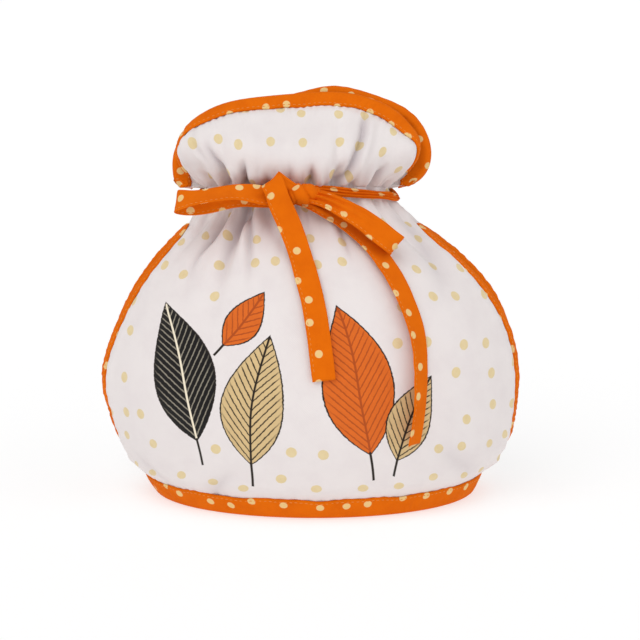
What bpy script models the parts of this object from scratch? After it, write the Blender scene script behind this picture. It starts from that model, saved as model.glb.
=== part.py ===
"""Tea cosy: two padded panels gathered at a neck, bound in spotted cotton and drawn in by a tie.

Units are metres, +Z is up and the front of the cosy faces -Y. The cosy stands on the flat underside of its
hem binding, with the origin on the floor under the middle. Places on a panel are given by three values: across,
from 0 at the left side seam to 1 at the right one; level, from 0 at the hem to 1 at the neck and 2 at the
frill's edge; and side, which is FRONT or BACK.
"""

import math
from collections import namedtuple

import bmesh
import bpy
import numpy as np
from mathutils import Vector

FRONT, BACK = -1, 1

# Driving dimensions.
NECK_HEIGHT = 0.190  # height of the neck at the side seams
NECK_LIFT = 0.007  # how much higher the gathers push the neck at the front and back
SEAM_GAP = 0.0003  # each panel stops this far from the plane of the side seams

# The padded cloth: half of its thickness at each place.
BODY_HALF = 0.0030
NECK_HALF = 0.0022
FRILL_HALF = 0.0022
BOUND_HALF = 0.0011  # pressed flat at a seam or inside a binding

# The binding: a strip folded over an edge, with the panel's edge inside it.
BINDING_CLOTH = 0.0009
BINDING_INNER = BOUND_HALF + 0.0015
BINDING_OUTER = BINDING_INNER + BINDING_CLOTH
PANEL_INSET = 0.0022  # from the folded edge of a binding to the edge of the panel
HEM_BINDING_HEIGHT = 0.013
HEM_FLOOR = 0.0012  # thickness of the hem binding under the panel's edge
HEM_EASE = 0.0002  # how much looser the hem binding lies than the others
HEM_CORNER = 0.0008  # the bevel along the hem's foot
HEM_INSET = 0.0018
SLIT_BINDING_WIDTH = 0.0078
FRILL_BINDING_WIDTH = 0.0108
LEAST_FRILL_BINDING = 0.0032  # its width where the frill runs in to the neck
FRILL_BINDING_CLEAR = 0.0095  # from the neck to the binding's inner edge, at least
FRILL_ENDS_BARE = {FRONT: 3, BACK: 2}  # columns of the panel at each end that the binding leaves bare
LEAST_LOOSE = 0.010  # the frill is straight up to this length
FULLY_LOOSE = 0.030  # and curls fully where it is so much longer

# The side openings, for the spout and the handle: ellipses on the side of the body.
SLIT_MIDDLE = 0.098
SLIT_HALF_HEIGHT = 0.060
SLIT_HALF_WIDTH = 0.019

# The tie: one long strip, round the neck and knotted in a bow at the front.
TIE_WIDTH = 0.0138
TIE_THICKNESS = 0.0016
TIE_SPACE = 0.0010  # between the panel and a tie end that lies on it
BAND_LEVEL = 0.1866
BAND_DROP = 0.0032  # how much lower the band lies at the side seams, under the ends of the frill
BAND_HALF_HEIGHT = 0.0030
BAND_CLEAR = 0.0008
BAND_THICKNESS = 0.0024
BAND_CORNER = 0.0008  # how much thinner the band is along its edges
KNOT_CENTRE = (-0.0045, -0.0500, 0.1928)
KNOT_HALVES = (0.0108, 0.0076, 0.0060)

# How finely the cloth is divided.
SLIT_STEPS = 13
BINDING_FOLDS = (0.0, 0.2, 0.6, 1.0)  # rows of a binding, as shares of its width in from its folded edge
FREE_FRILL_ROWS = (0.12, 0.27, 0.43, 0.60, 0.79)  # rows of the frill, as shares of the way to its binding
BAND_STEPS = 20
FRILL_SAMPLES = 25
EDGE_SAMPLES = 241
TIE_SECTIONS = 2.5  # of a strip of the tie, for each step between the rows of its table
SHARP_ANGLE = math.radians(55)  # edges that bend more than this are creases, not rounded cloth

# Outline of the body: how far it reaches each way at each height.
Section = namedtuple("Section", "height left right front back")
SECTIONS = (
    Section(0.000, 0.0930, 0.0980, 0.0710, 0.0730),
    Section(0.013, 0.1012, 0.1045, 0.0785, 0.0800),
    Section(0.030, 0.1135, 0.1175, 0.0875, 0.0885),
    Section(0.050, 0.1220, 0.1245, 0.0935, 0.0945),
    Section(0.074, 0.1280, 0.1275, 0.0960, 0.0972),
    Section(0.101, 0.1222, 0.1240, 0.0920, 0.0940),
    Section(0.128, 0.1080, 0.1090, 0.0815, 0.0840),
    Section(0.150, 0.0895, 0.0855, 0.0660, 0.0680),
    Section(0.166, 0.0735, 0.0640, 0.0505, 0.0515),
    Section(0.179, 0.0655, 0.0512, 0.0390, 0.0390),
    Section(NECK_HEIGHT, 0.0640, 0.0455, 0.0370, 0.0370),
)

# The outer edge of each half of the frill: points (x, y, z) from the left end of the neck over the top to the
# right.
FRILL_MIDDLES = {FRONT: -0.0093, BACK: -0.0055}
FRILL_EDGES = {
    FRONT: (
        (-0.0730, -0.0045, 0.1977),
        (-0.0769, -0.0058, 0.2071),
        (-0.0779, -0.0075, 0.2171),
        (-0.0725, -0.0092, 0.2289),
        (-0.0575, -0.0110, 0.2403),
        (-0.0338, -0.0125, 0.2462),
        (-0.0065, -0.0125, 0.2490),
        (0.0207, -0.0125, 0.2496),
        (0.0444, -0.0115, 0.2428),
        (0.0584, -0.0095, 0.2320),
        (0.0635, -0.0075, 0.2183),
        (0.0605, -0.0058, 0.2077),
        (0.0548, -0.0045, 0.2008),
    ),
    BACK: (
        (-0.0802, 0.0045, 0.1892),
        (-0.0837, 0.0055, 0.1929),
        (-0.0850, 0.0070, 0.1980),
        (-0.0841, 0.0090, 0.2090),
        (-0.0767, 0.0115, 0.2217),
        (-0.0591, 0.0140, 0.2335),
        (-0.0326, 0.0155, 0.2410),
        (-0.0092, 0.0160, 0.2450),
        (0.0117, 0.0160, 0.2496),
        (0.0395, 0.0155, 0.2438),
        (0.0629, 0.0130, 0.2320),
        (0.0728, 0.0100, 0.2144),
        (0.0720, 0.0075, 0.2015),
        (0.0672, 0.0060, 0.1947),
        (0.0597, 0.0045, 0.1905),
    ),
}

# How far the frill's edge rolls back, where 0 stands up and 1 runs straight back, and how far its cloth puffs
# out.
Roll = namedtuple("Roll", "across back puff")
ROLLS = {
    FRONT: (
        Roll(0, 0.3, 0),
        Roll(0.05, 0.8, 0.0030),
        Roll(0.10, 1.10, 0.0060),
        Roll(0.15, 0.85, 0.0065),
        Roll(0.21, 0.55, 0.0060),
        Roll(0.32, 0.40, 0.0050),
        Roll(0.50, 0.30, 0.0035),
        Roll(0.68, 0.10, 0.0045),
        Roll(0.80, 0.12, 0.0055),
        Roll(0.86, 0.50, 0.0055),
        Roll(0.91, 1.0, 0.0050),
        Roll(0.96, 0.7, 0.0020),
        Roll(1, 0.3, 0),
    ),
    BACK: (
        Roll(0, 0.3, 0),
        Roll(0.15, 0.6, 0.0045),
        Roll(0.5, 0.5, 0.0035),
        Roll(0.85, 0.5, 0.0040),
        Roll(1, 0.3, 0),
    ),
}

# Main gathers: each is a valley that runs down the body and up the frill from the neck.
Gather = namedtuple("Gather", "across depth down up")
GATHERS = {
    FRONT: (
        Gather(0.09, 0.0022, 0.030, 0.018),
        Gather(0.16, 0.0034, 0.060, 0.026),
        Gather(0.25, 0.0040, 0.075, 0.056),
        Gather(0.32, 0.0052, 0.105, 0.024),
        Gather(0.41, 0.0028, 0.040, 0.020),
        Gather(0.48, 0.0022, 0.034, 0.016),
        Gather(0.55, 0.0034, 0.036, 0.028),
        Gather(0.64, 0.0050, 0.040, 0.064),
        Gather(0.70, 0.0034, 0.060, 0.026),
        Gather(0.80, 0.0040, 0.064, 0.032),
        Gather(0.89, 0.0024, 0.046, 0.020),
    ),
    BACK: (
        Gather(0.11, 0.0028, 0.046, 0.020),
        Gather(0.20, 0.0040, 0.075, 0.044),
        Gather(0.30, 0.0032, 0.048, 0.024),
        Gather(0.39, 0.0050, 0.095, 0.056),
        Gather(0.48, 0.0028, 0.044, 0.022),
        Gather(0.57, 0.0044, 0.080, 0.050),
        Gather(0.68, 0.0034, 0.054, 0.022),
        Gather(0.77, 0.0042, 0.085, 0.038),
        Gather(0.88, 0.0026, 0.040, 0.020),
    ),
}
GATHER_HALF_WIDTH = 0.023  # of a valley, as a share of the way across

# The strips of the tie. A strip hangs free at an own place, or lies on the front panel at a place seen from
# the front. Facing turns its face from the front (0) to the right (90), tip turns it up, and lean slants the
# strip's section in its own plane, as beside a slanting fold.
Hang = namedtuple("Hang", "x y z facing tip lean", defaults=(0,))
Lie = namedtuple("Lie", "x z lift turn")
TIE_STRIPS = {
    "left_loop": (
        Hang(-0.0087, -0.0498, 0.1918, 0, 14),
        Hang(-0.0176, -0.0518, 0.1915, 0, 22),
        Hang(-0.0259, -0.0540, 0.1921, 0, 32),
        Hang(-0.0347, -0.0562, 0.1937, 0, 46),
        Hang(-0.0436, -0.0574, 0.1946, 0, 57),
        Hang(-0.0530, -0.0580, 0.1938, 0, 60),
        Hang(-0.0625, -0.0570, 0.1922, -4, 60),
        Hang(-0.0715, -0.0550, 0.1904, -16, 52),
        Hang(-0.0774, -0.0515, 0.1890, -50, 30),
        Hang(-0.0797, -0.0478, 0.1879, -90, 10),
        Hang(-0.0777, -0.0450, 0.1866, -135, 0),
        Hang(-0.0721, -0.0435, 0.1858, -172, -8),
        Hang(-0.0614, -0.0440, 0.1871, -182, -12),
        Hang(-0.0481, -0.0454, 0.1903, -184, -12),
        Hang(-0.0362, -0.0466, 0.1914, -184, -10),
        Hang(-0.0243, -0.0460, 0.1901, -184, -8),
        Hang(-0.0099, -0.0455, 0.1906, -184, -6),
    ),
    "right_loop": (
        Hang(-0.0099, -0.0500, 0.1918, 5, 12),
        Hang(-0.0010, -0.0530, 0.1916, 0, 20),
        Hang(0.0085, -0.0575, 0.1899, 0, 28),
        Hang(0.0192, -0.0612, 0.1856, 4, 22),
        Hang(0.0304, -0.0642, 0.1798, 8, 14),
        Hang(0.0410, -0.0660, 0.1720, 14, 8),
        Hang(0.0478, -0.0655, 0.1665, 40, -8),
        Hang(0.0509, -0.0625, 0.1637, 90, -38),
        Hang(0.0477, -0.0592, 0.1656, 150, -20),
        Hang(0.0406, -0.0578, 0.1711, 176, -12),
        Hang(0.0299, -0.0566, 0.1790, 180, -14),
        Hang(0.0186, -0.0548, 0.1853, 182, -20),
        Hang(0.0080, -0.0520, 0.1900, 184, -20),
        Hang(-0.0010, -0.0490, 0.1914, 186, -10),
        Hang(-0.0099, -0.0462, 0.1913, 190, -5),
    ),
    "middle_end": (
        Hang(-0.0028, -0.0490, 0.1902, 176, -6),
        Hang(-0.0099, -0.0525, 0.1934, 180, -4, -4),
        Hang(-0.0169, -0.0545, 0.1972, 180, 4, -12),
        Hang(-0.0211, -0.0552, 0.2003, 190, 20, -20),
        Hang(-0.0232, -0.0566, 0.2018, 270, 51),
        Hang(-0.0226, -0.0586, 0.2005, 350, 20, 20),
        Hang(-0.0209, -0.0594, 0.1964, 356, 6, 12),
        Hang(-0.0182, -0.0596, 0.1887, 356, 6, 2),
        Hang(-0.0145, -0.0605, 0.1804, 358, 14),
        Hang(-0.0104, -0.0640, 0.1708, 360, 26),
        Lie(-0.0058, 0.1548, 0.0010, 0),
        Lie(-0.0023, 0.1442, 0.0008, 0),
        Lie(0.0009, 0.1333, 0.0008, 0),
        Lie(0.0049, 0.1113, 0.0006, 2),
        Lie(0.0077, 0.0888, 0.0006, 3),
    ),
    "right_end": (
        Hang(-0.0081, -0.0470, 0.1911, 0, 10),
        Hang(-0.0010, -0.0487, 0.1887, 0, 22),
        Hang(0.0074, -0.0512, 0.1851, 2, 26),
        Lie(0.0157, 0.1741, 0.0020, 2),
        Lie(0.0256, 0.1672, 0.0014, 4),
        Lie(0.0342, 0.1594, 0.0012, 8),
        Lie(0.0416, 0.1503, 0.0014, 12),
        Lie(0.0487, 0.1399, 0.0017, 16),
        Lie(0.0539, 0.1294, 0.0020, 20),
        Lie(0.0585, 0.1168, 0.0025, 24),
        Lie(0.0610, 0.1035, 0.0029, 28),
        Lie(0.0616, 0.0889, 0.0033, 32),
        Lie(0.0607, 0.0708, 0.0037, 36),
        Lie(0.0575, 0.0508, 0.0038, 38),
    ),
}

Finish = namedtuple("Finish", "color roughness")
PRINTED = Finish((0.86, 0.83, 0.84, 1.0), 0.85)
SPOTTED = Finish((0.87, 0.30, 0.03, 1.0), 0.75)


def spline(places, values, at):
    """A natural cubic spline through (places, values): the curve that a thin batten takes."""
    x, y = np.asarray(places, float), np.asarray(values, float)
    step, count = np.diff(x), len(x)
    slope = np.diff(y) / step
    system = np.eye(count)
    for k in range(1, count - 1):
        system[k, k - 1 : k + 2] = step[k - 1], 2 * (step[k - 1] + step[k]), step[k]
    bend = np.linalg.solve(system, np.array([0, *(6 * np.diff(slope)), 0]))
    at = np.clip(np.asarray(at, float), x[0], x[-1])
    k = np.clip(np.searchsorted(x, at, side="right") - 1, 0, count - 2)
    before, after = at - x[k], x[k + 1] - at
    return (
        (bend[k] * after**3 + bend[k + 1] * before**3) / (6 * step[k])
        + (y[k] / step[k] - bend[k] * step[k] / 6) * after
        + (y[k + 1] / step[k] - bend[k + 1] * step[k] / 6) * before
    )


def ease(share):
    """0 to 1 with level ends."""
    t = np.clip(share, 0, 1)
    return t * t * (3 - 2 * t)


def unit(vectors):
    return vectors / np.maximum(np.linalg.norm(vectors, axis=-1, keepdims=True), 1e-12)


def column(table, name):
    return [getattr(row, name) for row in table]


def running(points, axis=0):
    """Length along a line of points, from 0 at its start."""
    steps = np.linalg.norm(np.diff(points, axis=axis), axis=-1)
    start = np.zeros_like(np.take(steps, [0], axis=axis))
    return np.concatenate([start, np.cumsum(steps, axis=axis)], axis=axis)


def reach(way, height):
    """How far the body reaches to its "left", "right", "front" or "back" at a height."""
    return spline(column(SECTIONS, "height"), column(SECTIONS, way), height)


def lift(across, height):
    """How much higher the gathers push the cloth here than at the side seams."""
    return NECK_LIFT * np.sin(np.pi * across) * (height / NECK_HEIGHT) ** 3


def body(across, height, side):
    """The middle of the cloth on the body: half an ellipse at each height, lifted towards the neck."""
    left, right = reach("left", height), reach("right", height)
    depth = reach("front" if side == FRONT else "back", height)
    turn = np.pi * across
    x = (right - left) / 2 - (right + left) / 2 * np.cos(turn)
    return np.stack([x, side * (depth * np.sin(turn) + SEAM_GAP), height + lift(across, height)], axis=-1)


def frill_edge(across, side):
    """The outer edge of the frill: a smooth line through the points of its table, at shares of its length."""
    points = np.array(FRILL_EDGES[side])
    along = running(points)
    at = np.linspace(0, along[-1], EDGE_SAMPLES)
    line = np.stack([spline(along, points[:, k], at) for k in range(3)], axis=-1)
    length = running(line)
    at = np.asarray(across) * length[-1]
    return np.stack([np.interp(at, length, line[:, k]) for k in range(3)], axis=-1)


def frill_curve(across, t, side):
    """The middle of the cloth on the frill: a cubic curve up and out from the neck, rolled back to the edge."""
    neck, edge = body(across, np.full(np.shape(across), NECK_HEIGHT), side), frill_edge(across, side)
    chord = edge - neck
    long = np.linalg.norm(chord, axis=-1, keepdims=True)
    loose = ease((long - LEAST_LOOSE) / FULLY_LOOSE)
    swell = (0.25 + 0.75 * np.sin(np.pi * np.clip(across, 0, 1)))[..., None]
    places = column(ROLLS[side], "across")
    roll, puff = (spline(places, column(ROLLS[side], name), across)[..., None] for name in ("back", "puff"))
    away = unit((edge - np.array([FRILL_MIDDLES[side], 0, NECK_HEIGHT])) * np.array([1, 0, 1]))
    up, forward = np.array([0, 0, 1]), np.array([0, side, 0])
    leave = unit(away * 0.4 + up * 0.35 + forward * 0.9 * swell) * long * 0.48
    leave = leave * loose + chord / 3 * (1 - loose)
    arrive = unit(away * (1.02 - roll) - forward * roll) * long * 0.42
    arrive = arrive * loose + chord / 3 * (1 - loose)
    bulge = unit(forward * swell**2 + away * (1.25 - swell)) * puff
    t = np.asarray(t)[..., None]
    curve = (1 - t) ** 3 * neck + 3 * (1 - t) ** 2 * t * (neck + leave)
    return curve + 3 * (1 - t) * t**2 * (edge - arrive) + t**3 * edge + bulge * np.sin(np.pi * t) ** 2


def frill_lengths(across, side):
    """Length along the frill from the neck to each of FRILL_SAMPLES places."""
    across = np.broadcast_to(np.asarray(across, float)[..., None], (*np.shape(across), FRILL_SAMPLES))
    line = frill_curve(across, np.broadcast_to(np.linspace(0, 1, FRILL_SAMPLES), across.shape), side)
    return running(line, axis=across.ndim - 1)


def frill(across, share, side):
    """The middle of the cloth at a share of the way from the neck to the frill's edge, along the cloth."""
    lengths = frill_lengths(across, side)
    target = share * lengths[..., -1]
    k = np.clip((lengths <= target[..., None]).sum(axis=-1) - 1, 0, FRILL_SAMPLES - 2)
    low, high = (np.take_along_axis(lengths, (k + n)[..., None], axis=-1)[..., 0] for n in (0, 1))
    return frill_curve(across, (k + (target - low) / (high - low)) / (FRILL_SAMPLES - 1), side)


def middle(across, level, side):
    """The middle of the cloth anywhere on a panel."""
    across, level = np.broadcast_arrays(np.asarray(across, float), np.asarray(level, float))
    on_body = body(across, np.clip(level, 0, 1) * NECK_HEIGHT, side)
    on_frill = frill(across, np.clip(level - 1, 0, 1), side)
    return np.where((level <= 1)[..., None], on_body, on_frill)


def outward(across, level, side):
    """The direction out of the cloth. Near the hem it is level, so that the hem stands flat."""
    d = 0.003
    across, level = np.broadcast_arrays(np.asarray(across, float), np.asarray(level, float))
    along = middle(np.clip(across + d, 0, 1), level, side) - middle(np.clip(across - d, 0, 1), level, side)
    rising = middle(across, np.clip(level + d, 0, 2), side) - middle(across, np.clip(level - d, 0, 2), side)
    normal = unit(np.cross(along, rising)) * -side
    flat = unit(normal * np.array([1, 1, 0]))
    share = ease((level * NECK_HEIGHT - HEM_BINDING_HEIGHT) / 0.02)[..., None]
    return unit(flat * (1 - share) + normal * share)


def slit_distance(points):
    """How far points are outside the edges of the side openings' panels, roughly, as seen from the side."""
    wide, tall = SLIT_HALF_WIDTH + PANEL_INSET, SLIT_HALF_HEIGHT + PANEL_INSET
    y, z = points[..., 1], points[..., 2] - SLIT_MIDDLE
    size = np.sqrt((y / wide) ** 2 + (z / tall) ** 2)
    return (size - 1) * size / np.sqrt((y / wide**2) ** 2 + (z / tall**2) ** 2 + 1e-12)


def side_across(offset, height, side):
    """How far across a panel a point is that lies offset from the plane of the side seams."""
    depth = reach("front" if side == FRONT else "back", height)
    return np.arcsin(np.clip(offset / depth, 0, 1)) / np.pi


def panel_levels():
    """The levels of a panel's rows on the body, from the hem to the neck."""
    wide = SLIT_HALF_HEIGHT + PANEL_INSET
    around = SLIT_MIDDLE - wide * np.cos(np.pi * np.arange(SLIT_STEPS + 1) / SLIT_STEPS)
    heights = [HEM_INSET, HEM_BINDING_HEIGHT, 0.0205, *around, 0.1670, 0.1738, 0.1802, 0.1855, NECK_HEIGHT]
    return np.array(heights) / NECK_HEIGHT


def panel_shares():
    """Where the columns of a panel stand between its two side edges: closer together beside the bindings."""
    return np.array([0, 0.017, 0.034, 0.055, *np.linspace(0.08, 0.92, 31), 0.945, 0.966, 0.983, 1])


def frill_length(across, side):
    """Length of the frill from the neck to its edge."""
    return frill_lengths(across, side)[..., -1]


def frill_binding_level(across, inwards, side):
    """The level a share of the binding's width in from the frill's edge. The binding narrows near the neck."""
    long = frill_length(across, side)
    width = np.clip(long - FRILL_BINDING_CLEAR, LEAST_FRILL_BINDING, FRILL_BINDING_WIDTH)
    return 2 - inwards * width / long


def panel_grid(side):
    """(across, level) of every point of a panel, rows from the hem up and columns from left to right."""
    levels, shares = panel_levels(), panel_shares()
    heights, tall = levels * NECK_HEIGHT, SLIT_HALF_HEIGHT + PANEL_INSET
    opening = np.sqrt(np.clip(1 - ((heights - SLIT_MIDDLE) / tall) ** 2, 0, 1))
    first = side_across(opening * (SLIT_HALF_WIDTH + PANEL_INSET), heights, side)[:, None]
    inner, half_way = (frill_binding_level(shares, inwards, side) for inwards in BINDING_FOLDS[:1:-1])
    rows = [1 + (inner - 1) * share for share in FREE_FRILL_ROWS]
    rows += [inner, half_way, 2 - PANEL_INSET / frill_length(shares, side)]
    across = np.concatenate([first + (1 - 2 * first) * shares, np.repeat(shares[None], len(rows), axis=0)])
    return across, np.concatenate([np.repeat(levels[:, None], len(shares), axis=1), rows])


def gathering(across, level, side):
    """How far the gathers draw the cloth in. Each valley is a bell curve across, fading away from the neck."""
    drawn = np.zeros(np.shape(across))
    shares = panel_shares()
    below = np.clip(1 - level, 0, 1) * NECK_HEIGHT
    length = frill_length(across, side)
    above, room = np.clip(level - 1, 0, 1) * length, np.maximum(length - FRILL_BINDING_WIDTH - 0.001, 0.001)
    for g in GATHERS[side]:
        line = shares[np.argmin(np.abs(shares - g.across))]
        valley = np.exp(-(((across - line) / GATHER_HALF_WIDTH) ** 2))
        drawn += g.depth * valley * ease(1 - below / g.down) * ease(1 - above / np.minimum(g.up, room))
    return drawn


def half_thickness(place, across, level, side):
    """Half the padding's thickness: full on the body, thin at the neck, the seams and inside the bindings."""
    height = np.clip(level, 0, 1) * NECK_HEIGHT
    from_left = running(place, axis=1)
    from_seam = np.minimum(from_left, from_left[:, -1:] - from_left)
    full = np.where(level > 1, FRILL_HALF, BODY_HALF + (NECK_HALF - BODY_HALF) * ease((height - 0.140) / 0.04))
    share = ease(from_seam / 0.010)
    share = share * ease((height - HEM_BINDING_HEIGHT - 0.002) / 0.008)
    share = share * np.where(level < 1, ease((slit_distance(place) - SLIT_BINDING_WIDTH) / 0.008), 1.0)
    to_edge = (2 - level) * frill_length(across, side)
    share = share * np.where(level > 1, ease((to_edge - FRILL_BINDING_WIDTH) / 0.008), 1.0)
    return BOUND_HALF + (full - BOUND_HALF) * share


def finished(name, bm, finish):
    """A smooth-shaded object from a mesh, with its own material."""
    bmesh.ops.recalc_face_normals(bm, faces=bm.faces)
    if bm.calc_volume(signed=True) < 0:
        bmesh.ops.reverse_faces(bm, faces=bm.faces)
    mesh = bpy.data.meshes.new(name)
    bm.to_mesh(mesh)
    bm.free()
    mesh.shade_smooth()
    mesh.set_sharp_from_angle(angle=SHARP_ANGLE)
    material = bpy.data.materials.new(name)
    material.use_nodes = True
    shader = material.node_tree.nodes["Principled BSDF"]
    shader.inputs["Base Color"].default_value = finish.color
    shader.inputs["Roughness"].default_value = finish.roughness
    shader.inputs["Metallic"].default_value = 0.0
    mesh.materials.append(material)
    obj = bpy.data.objects.new(name, mesh)
    bpy.context.scene.collection.objects.link(obj)
    return obj


def thick_sheet(name, outer, inner, finish):
    """A closed solid between two grids of points: a grid is made and extruded, and its points put in place."""
    rows, columns = outer.shape[:2]
    bm = bmesh.new()
    bmesh.ops.create_grid(bm, x_segments=columns - 1, y_segments=rows - 1, size=0.5)
    under = list(bm.verts)
    made = bmesh.ops.extrude_face_region(bm, geom=list(bm.faces), use_keep_orig=True)["geom"]
    over = {v.co.copy().freeze(): v for v in made if isinstance(v, bmesh.types.BMVert)}
    pairs = [(v, over[v.co.copy().freeze()]) for v in under]
    for k, (low, high) in enumerate(pairs):
        low.co = Vector(inner[k // columns, k % columns])
        high.co = Vector(outer[k // columns, k % columns])
    return finished(name, bm, finish)


def loft(name, sections, closed, finish):
    """A solid through closed sections: walls from each section to the next, and caps if the path is open."""
    count, around = sections.shape[:2]
    bm = bmesh.new()
    rings = [[bm.verts.new(Vector(p)) for p in section] for section in sections]
    for k in range(count if closed else count - 1):
        first, second = rings[k], rings[(k + 1) % count]
        for j in range(around):
            bm.faces.new((first[j], first[(j + 1) % around], second[(j + 1) % around], second[j]))
    if not closed:
        bm.faces.new(rings[0])
        bm.faces.new(rings[-1][::-1])
    return finished(name, bm, finish)


def make_panel(name, side):
    """A padded panel from hem to frill. Its outside carries the gathers, its inside half as much of them."""
    across, level = panel_grid(side)
    place, normal = middle(across, level, side), outward(across, level, side)
    half = half_thickness(place, across, level, side)[..., None]
    drawn = gathering(across, level, side)[..., None]
    thick_sheet(name, place + normal * (half - drawn), place - normal * (half + drawn / 2), PRINTED)


def ring(section, steps):
    """Sections all the way round the cosy: section(across, side) gives one for each place along a panel."""
    shares = np.arange(steps) / steps
    return np.concatenate([section(shares, FRONT), section(1 - shares, BACK)])


def make_hem_binding():
    """The binding round the hem: a level ring with a flat underside at the floor."""
    inner, outer, corner = BINDING_INNER + HEM_EASE, BINDING_OUTER + HEM_EASE, HEM_CORNER

    def section(across, side):
        low, high = (body(across, np.full(len(across), h), side) for h in (0.0, HEM_BINDING_HEIGHT))
        normal = outward(across, np.zeros(len(across)), side)
        rise = (high - low) / HEM_BINDING_HEIGHT
        path = (
            (HEM_BINDING_HEIGHT, outer),
            (corner, outer),
            (0.0, outer - corner),
            (0.0, corner - outer),
            (corner, -outer),
            (HEM_BINDING_HEIGHT, -outer),
            (HEM_BINDING_HEIGHT, -inner),
            (HEM_FLOOR, -inner),
            (HEM_FLOOR, inner),
            (HEM_BINDING_HEIGHT, inner),
        )
        return np.stack([low + rise * up + normal * out for up, out in path], axis=1)

    loft("hem_binding", ring(section, 30), True, SPOTTED)


def folded_strip(points, normals):
    """The sections of a binding: up the outside, over the folded edge, down the inside and back in the cloth.

    points and normals run in from the folded edge, (places along, 4, 3), and the fold comes first."""
    step = unit(points[:, 1] - points[:, 0]) * BINDING_CLOTH
    last = points.shape[1]

    def layer(k, out):
        return points[:, k] + normals[:, k] * out

    fold = 0.6 * BINDING_OUTER
    path = [layer(k, BINDING_OUTER) for k in range(last - 1, 0, -1)]
    path += [layer(0, fold), layer(0, -fold)]
    path += [layer(k, -BINDING_OUTER) for k in range(1, last)]
    path += [layer(k, -BINDING_INNER) for k in range(last - 1, 1, -1)]
    path += [layer(0, -BINDING_INNER) + step, layer(0, BINDING_INNER) + step]
    path += [layer(k, BINDING_INNER) for k in range(2, last)]
    return np.stack(path, axis=1)


def make_slit_binding(name, mirrored):
    """The binding round one side opening: an ellipse on the side of the body, with a leg on each face."""
    steps = [0.2, 0.6, *range(1, SLIT_STEPS), SLIT_STEPS - 0.6, SLIT_STEPS - 0.2]
    turn = np.pi / SLIT_STEPS * np.array([*steps, *(SLIT_STEPS + step for step in steps)])
    edge = np.stack([SLIT_HALF_WIDTH * np.sin(turn), -SLIT_HALF_HEIGHT * np.cos(turn)], axis=-1)
    away = unit(edge / np.array([SLIT_HALF_WIDTH, SLIT_HALF_HEIGHT]) ** 2)
    points, normals = [], []
    for inwards in BINDING_FOLDS:
        offset, height = (edge + away * SLIT_BINDING_WIDTH * inwards).T + np.array([[0], [SLIT_MIDDLE]])
        place, normal = np.zeros((2, len(turn), 3))
        for side in (FRONT, BACK):
            here = np.sign(offset) == side
            across = side_across(np.abs(offset[here]), height[here], side)
            across = 1 - across if mirrored else across
            place[here] = middle(across, height[here] / NECK_HEIGHT, side)
            normal[here] = outward(across, height[here] / NECK_HEIGHT, side)
        points.append(place)
        normals.append(normal)
    loft(name, folded_strip(np.stack(points, axis=1), np.stack(normals, axis=1)), True, SPOTTED)


def make_frill_binding(name, side):
    """The binding along one half of the frill, narrower where the frill runs in to the neck."""
    bare = FRILL_ENDS_BARE[side]
    across = panel_shares()[bare : len(panel_shares()) - bare]
    levels = [frill_binding_level(across, inwards, side) for inwards in BINDING_FOLDS]
    points = np.stack([middle(across, level, side) for level in levels], axis=1)
    normals = np.stack([outward(across, np.minimum(level, 1.99), side) for level in levels], axis=1)
    loft(name, folded_strip(points, normals), False, SPOTTED)


def tie_band():
    """The part of the tie round the neck: a flattened oval, pressed against the gathers."""
    top, inside = BAND_HALF_HEIGHT, NECK_HALF + BAND_CLEAR
    outside = inside + BAND_THICKNESS

    def section(across, side):
        path = (
            (-top, inside + BAND_CORNER / 2),
            (-top, outside - BAND_CORNER),
            (-top / 2, outside),
            (top / 2, outside),
            (top, outside - BAND_CORNER),
            (top, inside + BAND_CORNER / 2),
            (top / 3, inside),
            (-top / 3, inside),
        )
        points = []
        drop = BAND_DROP * (1 - np.sin(np.pi * across))
        for up, out in path:
            level = (BAND_LEVEL - drop + up) / NECK_HEIGHT
            points.append(middle(across, level, side) + outward(across, level, side) * out)
        return np.stack(points, axis=1)

    return loft("tie", ring(section, BAND_STEPS), True, SPOTTED)


def on_panel(x, z):
    """The middle of the front panel's cloth, and the way out of it, at a place seen from the front."""
    height, across = z, 0.5
    for _ in range(6):
        left, right = reach("left", height), reach("right", height)
        across = np.arccos(((right - left) / 2 - x) / ((right + left) / 2)) / np.pi
        height = z - lift(across, height)
    level = height / NECK_HEIGHT
    return middle(across, level, FRONT), outward(across, level, FRONT)


def spun(vector, axis, degrees):
    """A vector turned about an axis at right angles to it."""
    turn = math.radians(degrees)
    return vector * math.cos(turn) + np.cross(axis, vector) * math.sin(turn)


def settle(row):
    """The point, the face direction and the lean of one row of a strip's table."""
    if isinstance(row, Hang):
        facing, tip = math.radians(row.facing), math.radians(row.tip)
        level = math.cos(tip)
        face = np.array([math.sin(facing) * level, -math.cos(facing) * level, math.sin(tip)])
        return np.array([row.x, row.y, row.z]), face, row.lean
    point, face = on_panel(row.x, row.z)
    out = BODY_HALF + TIE_SPACE + TIE_THICKNESS / 2 + row.lift
    return point + face * out, spun(face, np.array([0, 0, 1.0]), row.turn), 0


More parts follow.
